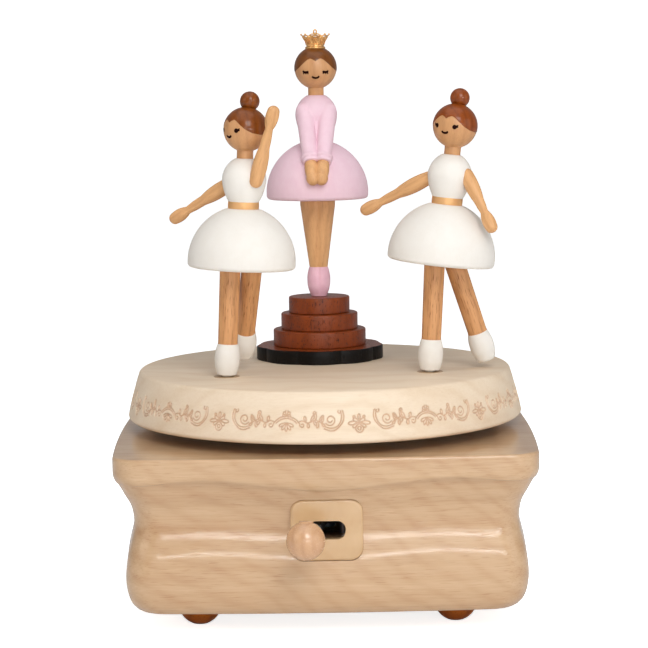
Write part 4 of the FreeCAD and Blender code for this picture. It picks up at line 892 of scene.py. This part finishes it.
def make_turntable():
    """The turned disc with its engraved rim, open below for the gears and with two holes for the bushes."""
    spindle_hole, hole_top, under, inside, skirt_low = 4.0, 70.3, 67, 57, table_low.z
    rim_low = (RIM_RADIUS, skirt_low + 1.2, 90)
    shoulder = (60.5, 73.5)
    side = np.array(outline([rim_low, (61.6, 69.9, 30), shoulder], arc_step=0.5))
    heights = np.arange(*BAND_HEIGHTS)
    radii = np.interp(heights, side[:, 1], side[:, 0])
    near = engraving(heights)
    relief = 1 - ease((near - 0.05) / 0.25)
    tint = 1 - ease((near - 0.02) / 0.3)
    fade = ease((heights - heights[0]) / 0.4) * ease((heights[-1] - heights) / 0.4)
    first = math.radians(-90 + ENGRAVING_START - 180 / REPEATS)
    angles = first + 2 * math.pi * np.arange(REPEATS * COLUMNS) / (REPEATS * COLUMNS)
    rings, marks = [], []

    def add(radius, height, tints=None):
        """One ring: a fine one where it has tints, and a pole where its radius is 0."""
        some = angles if tints is not None else angles[::COARSE]
        if tints is None:
            tints = np.zeros(len(some))
        if np.max(radius) == 0:
            some, tints = angles[:1], np.zeros(1)
        rings.append(np.column_stack([
            radius * np.cos(some), radius * np.sin(some), np.full(len(some), height)
        ]))
        marks.append(tints)

    inner_low = outline([
        (0, hole_top), (spindle_hole, hole_top), (spindle_hole, under), (inside, under), (inside, skirt_low),
        (62.8, skirt_low, 1.2), rim_low, (radii[0], heights[0]),
    ], arc_step=1)
    for radius, height in inner_low[:-1]:
        add(radius, height)
    for row, height in enumerate(heights):
        carved = np.tile(relief[row], REPEATS) * fade[row]
        add(radii[row] - ENGRAVING_DEPTH * carved, height, np.tile(tint[row], REPEATS) * fade[row])
    upper = [point for point in side if point[1] > heights[-1] + 0.2]
    top = table_high.z
    upper += outline([(*shoulder, 1.6), (59.4, top)], arc_step=12)[1:]
    for radius, height in upper + [(30, top), (0, top)]:
        add(radius, height)
    bush, low, high = 4.1, under - 2, top + 2
    bush_hole = lathe([(0, low), (bush, low), (bush, high), (0, high)], 48)
    tools = []
    for name in ("left", "right"):
        spot = frame_joint("dancer_" + name + "_spin")
        tools.append(moved(bush_hole, Matrix.Translation((spot.x, spot.y, 0))))
    shape, values = cut_with_marks(skin(rings), tools, np.concatenate(marks))
    make_piece(
        "turntable_maple", shape, [maple], "turntable", stands_for=("turntable_disc",),
        marks=values,
    )


def frame_joint(name):
    """A joint's place in millimetres."""
    joint = next(joint for joint in frame["joints"] if joint["name"] == name)
    return Vector(joint["pos_m"]) / MM


def cut_with_marks(shape, tools, marks):
    """cut, with each vertex's mark looked up again at the nearest old vertex."""
    tree = kdtree.KDTree(len(shape[0]))
    for index, vertex in enumerate(shape[0]):
        tree.insert(vertex, index)
    tree.balance()
    vertices, faces = cut(shape, tools)
    values = [marks[tree.find(vertex)[1]] for vertex in vertices]
    return (vertices, faces), values


# ---- pedestal


def upright(node):
    """Placement on the underside of an upright node."""
    centre = middle(node)
    return stand((centre.x, centre.y, corners(node)[0].z))


def make_pedestal():
    """The cloud-edged plate with its burnt edge, and three round steps on it."""
    low, high = corners("scalloped_plate")
    thick = high.z - low.z
    lobes, lobe_height = 9, 0.9
    mean = max(high.x - low.x, high.y - low.y) / 2 - lobe_height / 2

    def lobe(angle):
        return lobe_height * (np.abs(np.cos(lobes / 2 * (angle + math.pi / 2))) - 0.5)

    def scalloped(angle, across, up):
        return across + lobe(angle) * min(across / mean, 1) ** 3, up

    def dark_edge(x, y, z):
        return (z < thick - 0.05) | (np.hypot(x, y) > mean + lobe(np.arctan2(y, x)) - 0.5)

    points = [
        (0, 0), (mean - 0.25, 0), (mean, 0.3), (mean, thick / 2), (mean, thick - 0.4),
        (mean - 0.1, thick - 0.12), (mean - 0.35, thick), (mean - 1, thick), (mean * 0.7, thick), (0, thick),
    ]
    make_piece(
        "scalloped_plate_wood", lathe(points, 720, scalloped), [step_wood, burnt_wood], "turntable",
        upright("scalloped_plate"), ("scalloped_plate",), paint=dark_edge,
    )
    for size in ("large", "middle", "small"):
        node = "pedestal_step_" + size
        low, high = corners(node)
        radius = (high.x - low.x) / 2
        thick = high.z - low.z
        shape = lathe(outline([
            (0, 0), (radius - 0.3, 0), (radius, 0.3), (radius, thick - 0.5, 0.5), (radius - 0.5, thick),
            (0, thick),
        ], arc_step=22), 160)
        make_piece(
            "step_" + size + "_wood", shape, [step_wood], "turntable", upright(node), (node,)
        )


# ---- figures

SKIRT = [
    (0, 1.5), (13, 1.5, 3), (14.4, 0), (15.8, 0, 1.3), (17, 1.2, 60), (17, 3.2, 17.9), (6.25, 18.35, 4),
    (4.85, 18.7), (0, 18.7),
]
BELT = [(0, 18.7), (4.85, 18.7, 9), (4.85, 20.9), (0, 20.9)]
BODICE = [(0, 20.9), (4.85, 20.9, 16), (7, 27.87, 7.6), (3.2, 34.3, 1), (2.6, 34.4), (0, 34.4)]
SHOE_HEIGHT = 9.8
TENON = 4.0
HEAD_RADIUS = 7.0
HEAD_CENTRE = 43.4
NECK_RADIUS = 2.6
NECK_FILLET = 0.35
SHOULDER = 2.1
SLEEVE_SHOULDER = 2.9
LID_WIDTH = 0.8
LASH_WIDTH = 0.46
OPEN_LASH_WIDTH = 0.45
SMILE_WIDTH = 0.74
PAINT_HEIGHT = 0.05


def figure_place(name, facing):
    """Placement of a figure: up through its belt and head, with the skirt's underside at height 0."""
    belt = centre_of("belt_" + name)
    up = (centre_of("head_" + name) - belt).normalized()
    low, _ = reach_along("skirt_" + name, belt, up)
    return stand(belt + up * low, up, turned_front(facing))


def make_body(name, body, place, dress, slot):
    """Skirt, belt and, for the dancers with bare arms, the bodice."""
    parts = [("skirt_", SKIRT, dress, slot), ("belt_", BELT, gold_paint, "gold_paint")]
    if name != "crowned":
        parts.append(("bodice_", BODICE, dress, slot))
    for part, points, material, part_slot in parts:
        node = part + name
        shape = lathe(outline(points, arc_step=3), segments=128)
        make_piece(node + "_turned", shape, [material], body, place, (node,))


def on_head(across, up):
    """The point of the face seen at these offsets from the middle of the head."""
    return Vector((across, -math.sqrt(HEAD_RADIUS ** 2 - across ** 2 - up ** 2), up))


def face_line(points, width, count=16):
    """A painted line on the face, tapering to both ends, a hair above the wood."""
    path = smooth_path(points, count)
    rings = []
    for index, (across, up) in enumerate(path):
        spot = on_head(across, up)
        ahead = on_head(*path[min(index + 1, count - 1)]) - on_head(*path[max(index - 1, 0)])
        out = spot.normalized()
        side = ahead.cross(out).normalized()
        half = width / 2 * (1 - 0.3 * abs(2 * index / (count - 1) - 1) ** 4)
        rings.append(oval_ring(spot, side * half, out * PAINT_HEIGHT, 10))
    return skin([[on_head(*path[0])]] + rings + [[on_head(*path[-1])]])


def face_dot(across, up, radius):
    """A painted round dot on the face."""
    spot = on_head(across, up)
    place = stand(spot, spot.normalized(), Vector((0, 0, -1)))
    return moved(ball(1), place @ Matrix.Diagonal((radius, radius, 0.06, 1)))


def face_shapes(asleep):
    """Eyes and smile; the sleeping face has closed lids with lashes turned down."""
    shapes = []
    for side in (-1, 1):
        if asleep:
            tilt = 0.12 * side
            eye = side * 3.25
            shapes.append(face_line([
                (eye - 0.95, -1.12 - tilt), (eye - 0.5, -1.42), (eye, -1.5), (eye + 0.5, -1.42),
                (eye + 0.95, -1.12 + tilt),
            ], LID_WIDTH))
            for lash in (-0.6, 0.05, 0.65):
                points = [(eye + lash, -1.45), (eye + lash * 1.12, -1.8), (eye + lash * 1.25, -2.1)]
                shapes.append(face_line(points, LASH_WIDTH, 6))
        else:
            shapes.append(face_dot(side * 3.05, -0.3, 0.72))
            for rise in (-0.15, 0.3):
                points = [(side * 3.5, -0.2 + rise * 0.6), (side * 3.8, -0.1 + rise), (side * 4.05, rise)]
                shapes.append(face_line(points, OPEN_LASH_WIDTH, 6))
    smile = [(-1.05, -1.85), (-0.7, -2.25), (0, -2.42), (0.7, -2.25), (1.05, -1.8)]
    if asleep:
        smile = [(-1.2, -2.85), (-0.75, -3.2), (0, -3.38), (0.75, -3.2), (1.2, -2.75)]
    shapes.append(face_line(smile, SMILE_WIDTH, 24))
    return shapes


HAIR_THICKNESS = 0.1
# angle from the front in degrees, and the hair's lower edge above the middle of the head
HAIRLINE = [
    (0, 2.1), (7, 2.65), (16, 3.05), (24, 2.6), (35, 1.5), (50, 0.1), (68, -0.9), (90, -1.3), (180, -1.6),
]


def hair_shape():
    """A cap of painted hair with a parting peak over the forehead, closed inside the head."""
    turns, heights = zip(*HAIRLINE)
    rows = 26
    outside = HEAD_RADIUS + HAIR_THICKNESS
    # the first row lies inside the head, and the second turns the cap's edge over
    radii = [HEAD_RADIUS - 0.35, outside - 0.06] + [outside] * (rows - 1)
    rings = [[(0, 0, 0)]]
    for row, radius in enumerate(radii):
        ring = []
        for angle in full_turn(120):
            from_front = abs((math.degrees(angle) + 270) % 360 - 180)
            edge = math.asin(np.interp(from_front, turns, heights) / HEAD_RADIUS)
            lift = edge + (math.pi / 2 - edge) * max(row - 1, 0) / rows
            ring.append(round_the_axis(radius * math.cos(lift), angle, radius * math.sin(lift)))
        rings.append(ring)
    rings.append([(0, 0, outside)])
    return skin(rings)


def make_head(name, body, place, asleep=False):
    """Head and neck in one turned piece, with painted hair and face."""
    centre = Matrix.Translation((0, 0, HEAD_CENTRE))
    bottom = BODICE[-1][1] - 1.2
    meet = HEAD_CENTRE - math.sqrt(HEAD_RADIUS ** 2 - (NECK_RADIUS + NECK_FILLET) ** 2)
    points = outline([
        (0, bottom), (NECK_RADIUS, bottom), (NECK_RADIUS, meet - NECK_FILLET, -NECK_FILLET),
        (NECK_RADIUS + NECK_FILLET, meet, HEAD_RADIUS), (0, HEAD_CENTRE + HEAD_RADIUS),
    ], arc_step=3)
    head, bun = "head_" + name, "bun_" + name
    make_piece(head + "_turned", lathe(points, segments=120), [face_wood], body, place, (head,))
    face = joined(face_shapes(asleep))
    make_piece("face_" + name, face, [face_ink], body, place @ centre)
    hair_paint = [hair_paints[name]]
    make_piece("hair_" + name, hair_shape(), hair_paint, body, place @ centre)
    if not asleep:
        bun_centre = centre_of(bun)
        low, high = reach_along(bun, bun_centre, place.to_3x3() @ Vector((1, 0, 0)))
        bun_place = place @ Matrix.Translation(place.inverted() @ bun_centre)
        shape = ball((high - low) / 2, segments=72)
        make_piece(bun + "_turned", shape, hair_paint, body, bun_place, (bun,))


def make_leg(node, body, shoe, rounding):
    """A turned leg that ends in a painted shoe, its sole rounded off at the edge."""
    sole, top = axis_of(node, near=middle(node) - Vector((0, 0, 300)))
    length = (top - sole).length - TENON
    ankle = 3.1
    points = outline([
        (0, 0), (ankle - rounding, 0, rounding), (ankle + rounding * 0.12, rounding, 12), (3.95, 4.41, 14),
        (ankle + 0.12, SHOE_HEIGHT), (ankle, SHOE_HEIGHT + 0.1), (3.3, length), (0, length),
    ], arc_step=4)
    # The leg takes doll_wood. Its darker tone is partly painted shade for the shadow under the skirt.
    make_piece(
        node + "_turned", lathe(points), [doll_wood, shoe], body, stand(sole, top - sole), (node,),
        paint=lambda x, y, z: z < SHOE_HEIGHT + 0.05,
    )


def make_arm(node, body, shoulder):
    """A turned arm: ball shoulder, taper to the wrist, long oval hand."""
    start, end = axis_of(node, near=shoulder)
    along = (end - start).normalized()
    length = (end - start).length - SHOULDER
    shape = lathe(outline([
        (0, -SHOULDER, SHOULDER), (SHOULDER, 0, 30), (1.65, length * 0.45, 40), (1.25, length - 7.4, 9),
        (1.95, length - 1.95, 1.95), (0, length),
    ], arc_step=4), segments=72)
    place = stand(start + along * SHOULDER, along)
    make_piece(node + "_turned", shape, [pale_doll_wood], body, place, (node,))


def make_dancer(side, facing, other_arm):
    """One of the outer dancers, on its own body; facing is its turn to the right in degrees."""
    body = "dancer_" + side
    place = figure_place(side, facing)
    shoulder = centre_of("bodice_" + side)
    make_body(side, body, place, white_paint, "white_paint")
    make_head(side, body, place)
    make_leg("standing_leg_" + side, body, white_paint, 0.4)
    make_leg("raised_leg_" + side, body, white_paint, 1.6)
    for arm in ("arm_outstretched_" + side, other_arm):
        make_arm(arm, body, shoulder)


def make_crowned_legs():
    """Both legs in one carved piece, with a groove between them and pink shoes below."""
    centre = middle("legs_crowned")
    ground = corners("pedestal_step_small")[1].z
    tall = corners("legs_crowned")[1].z - ground
    groove, groove_width, shoe_top = 0.5, 0.7, 9.78

    def grooved(angle, across, up):
        dip = groove * math.exp(-(across * math.cos(angle) / groove_width) ** 2) * ease((up - 2.0) / 6)
        return across - (dip if across > 1 else 0), up

    points = outline([
        (0, 0), (2.3, 0, 0.4), (2.7, 0.4, 10), (3.85, 4.6, 12), (3.17, 9.7), (3.05, 9.85), (5.85, 30.6),
        (5.85, tall), (0, tall),
    ], arc_step=4)
    fine = []
    for first, second in zip(np.array(points), np.array(points[1:])):
        steps = max(1, round(abs(second[1] - first[1])))
        fine += [tuple(first + (second - first) * step / steps) for step in range(steps)]
    fine.append(points[-1])
    make_piece(
        "legs_crowned_carved", lathe(fine, 144, grooved), [pale_doll_wood, shoe_pink], "turntable",
        stand((centre.x, centre.y, ground)), ("legs_crowned",),
        paint=lambda x, y, z: z < shoe_top,
    )


def sleeve_shapes(start, end, hand_length):
    """One sleeve from shoulder to cuff, and the hand below it, as turned shapes along the arm."""
    along = end - start
    length = along.length
    cuff_end = length - hand_length
    sleeve = lathe(outline([
        (0, -SLEEVE_SHOULDER, SLEEVE_SHOULDER), (SLEEVE_SHOULDER, 0), (2.75, 0.5 * cuff_end),
        (2.5, cuff_end - 3.2), (2.5, cuff_end - 2.7),
        (3.0, cuff_end - 2.5, 0.7), (3.0, cuff_end - 1.5), (2.55, cuff_end - 1.25), (2.78, cuff_end - 0.95),
        (2.78, cuff_end - 0.15), (2.4, cuff_end), (0, cuff_end),
    ], arc_step=10), 48)
    hand = lathe(outline([
        (0, cuff_end - 1), (1.75, cuff_end - 1, 12), (2.0, length - 3.2, 2.6), (1.5, length - 0.6, 1.6),
        (0, length),
    ], arc_step=10), 48)
    place = stand(start, along)
    return moved(sleeve, place), moved(hand, place)


def make_crowned_torso(place):
    """Bodice and both sleeves flow into each other; the hands are folded into one carved piece."""
    inside = place.inverted()
    sleeves, hands = [], []
    for side in ("left", "right"):
        node = "crowned_arm_" + side
        start, end = axis_of(node, near=centre_of("bodice_crowned"))
        along = (end - start).normalized()
        hand_end = inside @ end
        hand_end.x *= 0.6
        sleeve, hand = sleeve_shapes(inside @ (start + along * SLEEVE_SHOULDER), hand_end, hand_length=8.2)
        sleeves.append(sleeve)
        hands.append(hand)
    bodice = lathe(outline(BODICE, arc_step=4))
    web = lathe([(0, -2), (1.6, -1), (1.9, 2), (1.3, 9), (0.8, 12), (0, 12.4)], 48)
    web_start, web_end = Vector((0, -3.0, 28.4)), Vector((0, -12.0, 15.0))
    sleeves.append(moved(web, stand(web_start, web_end - web_start)))
    make_piece(
        "bodice_crowned_carved", merged([bodice] + sleeves, 0.2, 4), [pink_paint], "turntable", place,
        ("bodice_crowned", "crowned_arm_left", "crowned_arm_right"),
    )
    make_piece(
        "hands_crowned_carved", merged(hands, 0.16, 5), [pale_doll_wood], "turntable", place
    )


CROWN_LEAVES = 8
CROWN_PITCH = 2 * math.pi / CROWN_LEAVES


def crown_wall():
    """The ringed band and the flared wall above it, whose edge drops between the leaves."""
    wall_foot = 3.35

    def leafy(angle, across, up):
        if up < wall_foot:
            return across, up
        drop = 0.85 * (abs(((angle / CROWN_PITCH) % 1) - 0.5) * 2) ** 1.6
        share = (up - wall_foot) / 1.2
        return across - 0.42 * drop * share, up - drop * share

    outer = outline([
        (2.6, 0), (3.02, 0.1, 0.45), (3.02, 0.8), (2.92, 0.92), (2.95, 1.3), (3.08, 1.4, 0.12), (3.08, 1.62),
        (2.98, 1.75), (3.15, 2.4), (3.45, 2.9), (3.75, wall_foot), (4.1, 3.85), (4.5, 4.5),
    ], arc_step=25)
    inner = [(across - 0.34, up) for across, up in reversed(outer[8:])]
    return lathe(outer + [(4.34, 4.55)] + inner + [(2.6, 1.7)], 192, leafy)


def leaf_edge(turn):
    """Points of one leaf's wire edge, from valley over the tip to valley, around the flared crown."""
    low, high, out_low, out_high = 3.7, 4.62, 4.0, 4.56
    points = []
    for step in range(-12, 13):
        part = step / 12
        share = (1 - abs(part) ** 1.5) ** 1.4
        swing = math.copysign(0.09 * math.sin(math.pi * abs(part)), part)
        angle = turn + CROWN_PITCH / 2 * (part + swing)
        out = out_low + (out_high - out_low) * share
        points.append(round_the_axis(out, angle, low + (high - low) * share))
    return points


def crown_leaf(turn):
    """One leaf's edge, the beads on its tip and in its valley, its stem and its two scrolls."""
    stem = [(3.05, 1.8, 0), (3.35, 2.6, 0), (3.72, 3.2, 0), (4.2, 3.9, 0)]
    shapes = [
        tube(leaf_edge(turn), 0.16, 8),
        ball(0.33, round_the_axis(4.62, turn, 4.78), 16),
        ball(0.26, round_the_axis(3.72, turn + CROWN_PITCH / 2, 3.4), 12),
    ]
    for side in (-1, 0, 1):
        scroll = smooth_path([(3.2, 1.9, 0.9), (3.45, 2.6, 1.25), (3.8, 3.2, 0.9), (3.72, 3.05, 0.35)], 10)
        aside = side * CROWN_PITCH * 0.2
        wire = [round_the_axis(out, turn + aside * part, up) for out, up, part in (scroll if side else stem)]
        shapes.append(tube(wire, 0.13, 6))
    return shapes


def make_crown(place):
    """A cast crown: ringed band, flared wall in pointed leaves with beads, and a small loop on top."""
    foot = (place.inverted() @ Vector(corners("crown")[0])).z
    shapes = [crown_wall()]
    for leaf in range(CROWN_LEAVES):
        shapes += crown_leaf(math.radians(-90) + CROWN_PITCH * leaf)
    for radius, height, wire in ((2.98, 0.42, 0.42), (3.05, 1.5, 0.2)):
        ring = [round_the_axis(radius, angle, height) for angle in full_turn(96)]
        shapes.append(tube(ring, wire, closed=True))
    for turn in (0, math.pi / 2):
        arch = []
        for step in range(21):
            angle = math.pi * step / 20
            arch.append(round_the_axis(2.9 * math.cos(angle), turn, 1.9 + 3.2 * math.sin(angle) ** 0.8))
        shapes.append(tube(arch, 0.22, 8))
    loop = [(0.5 * math.cos(angle), 0, 5.75 + 0.6 * math.sin(angle)) for angle in full_turn(32)]
    shapes.append(tube(loop, 0.22, closed=True))
    make_piece(
        "crown_cast", joined(shapes), [gold_metal], "turntable", place @ Matrix.Translation((0, 0, foot)),
        ("crown",), sharp=50,
    )


def make_crowned():
    """The crowned dancer, who stands on the pedestal and turns with the turntable."""
    place = figure_place("crowned", 0)
    make_body("crowned", "turntable", place, pink_paint, "pink_paint")
    make_head("crowned", "turntable", place, asleep=True)
    make_crowned_legs()
    make_crowned_torso(place)
    make_crown(place)


# ---- studio


def make_floor():
    """A pale floor that sweeps up into the backdrop; the camera sees it a little brighter than lit."""
    half, behind, radius, tall, level = 3000, 2400, 900, 3200, -0.05
    path = [(-half, level), (-600, level), (0, level), (behind - radius, level)]
    for angle in range(10, 91, 10):
        turn = math.radians(angle)
        path.append((behind - radius + radius * math.sin(turn), radius - radius * math.cos(turn) + level))
    path.append((behind, tall))
    vertices = [Vector((x, y, z)) * MM for y, z in path for x in (-half, half)]
    faces = [[2 * row, 2 * row + 1, 2 * row + 3, 2 * row + 2] for row in range(len(path) - 1)]
    mesh = bpy.data.meshes.new("floor")
    mesh.from_pydata(vertices, [], faces)
    mesh.shade_smooth()
    look = Look("floor", own_frame=False)
    speckle = look.noise((0.02, 0.02, 0.02), detail=3)
    colour = look.blend(speckle, (252, 252, 252), (249, 249, 250))
    seen = look.node("LightPath").outputs["Is Camera Ray"]
    glow = look.maths("MULTIPLY", seen, 0.8)
    mesh.materials.append(look.finish(colour, 0.85, Emission_Color=(1, 1, 1, 1), Emission_Strength=glow))
    floor = bpy.data.objects.new("floor", mesh)
    bpy.context.scene.collection.objects.link(floor)


def area_light(name, azimuth, elevation, distance, width, height, power, colour=(1, 1, 1)):
    """A softbox at an angle to the right of the camera and above the floor, facing the box's middle."""
    light = bpy.data.lights.new(name, "AREA")
    light.shape = "RECTANGLE"
    light.size = width * MM
    light.size_y = height * MM
    light.energy = power
    light.color = colour
    item = bpy.data.objects.new(name, light)
    turn, rise = math.radians(azimuth), math.radians(elevation)
    away = Vector((math.sin(turn) * math.cos(rise), -math.cos(turn) * math.cos(rise), math.sin(rise)))
    item.location = Vector((0, 0, (cad_box[0][2] + cad_box[1][2]) / 2)) + away * distance * MM
    item.rotation_euler = (-away).to_track_quat("-Z", "Y").to_euler()
    bpy.context.scene.collection.objects.link(item)


def make_studio():
    """Floor, five softboxes, a dim surround and the plain colour transform."""
    make_floor()
    area_light("key_softbox", 14, 34, 950, 420, 420, 3.45)
    area_light("low_strip", 12, 7, 900, 900, 26, 1.5)
    area_light("fill_softbox", -62, 22, 1000, 600, 600, 1.25, colour=(1, 0.9, 0.78))
    area_light("right_softbox", 64, 14, 1000, 600, 600, 1.2, colour=(1, 0.96, 0.9))
    area_light("top_softbox", -20, 78, 900, 1000, 1000, 2.9)
    scene = bpy.context.scene
    scene.world = bpy.data.worlds.new("studio")
    scene.world.use_nodes = True
    surround = scene.world.node_tree.nodes["Background"].inputs
    surround["Color"].default_value = linear((250, 250, 252))
    surround["Strength"].default_value = 0.26
    scene.view_settings.view_transform = "Standard"


CAMERA_SPOT = Vector((0.11, -683.8, 164.85))
CAMERA_LENS = 117.2
CAMERA_DOWN = 6.37
CAMERA_ROLL = -0.0155


def make_camera():
    """The camera in front of the box, looking slightly down and rolled a little; its roll is in radians."""
    camera = bpy.data.cameras.new("camera")
    camera.sensor_width = 36
    camera.lens = CAMERA_LENS
    item = bpy.data.objects.new("camera", camera)
    item.location = CAMERA_SPOT * MM
    tilt = Matrix.Rotation(math.radians(90 - CAMERA_DOWN), 4, "X")
    item.rotation_euler = (tilt @ Matrix.Rotation(CAMERA_ROLL, 4, "Z")).to_euler()
    bpy.context.scene.collection.objects.link(item)
    bpy.context.scene.camera = item


finish_cad_nodes()
make_base()
make_knob()
make_turntable()
make_pedestal()
make_dancer("left", -49, "arm_raised_left")
make_dancer("right", -31, "arm_lowered_right")
make_crowned()
make_studio()
make_camera()
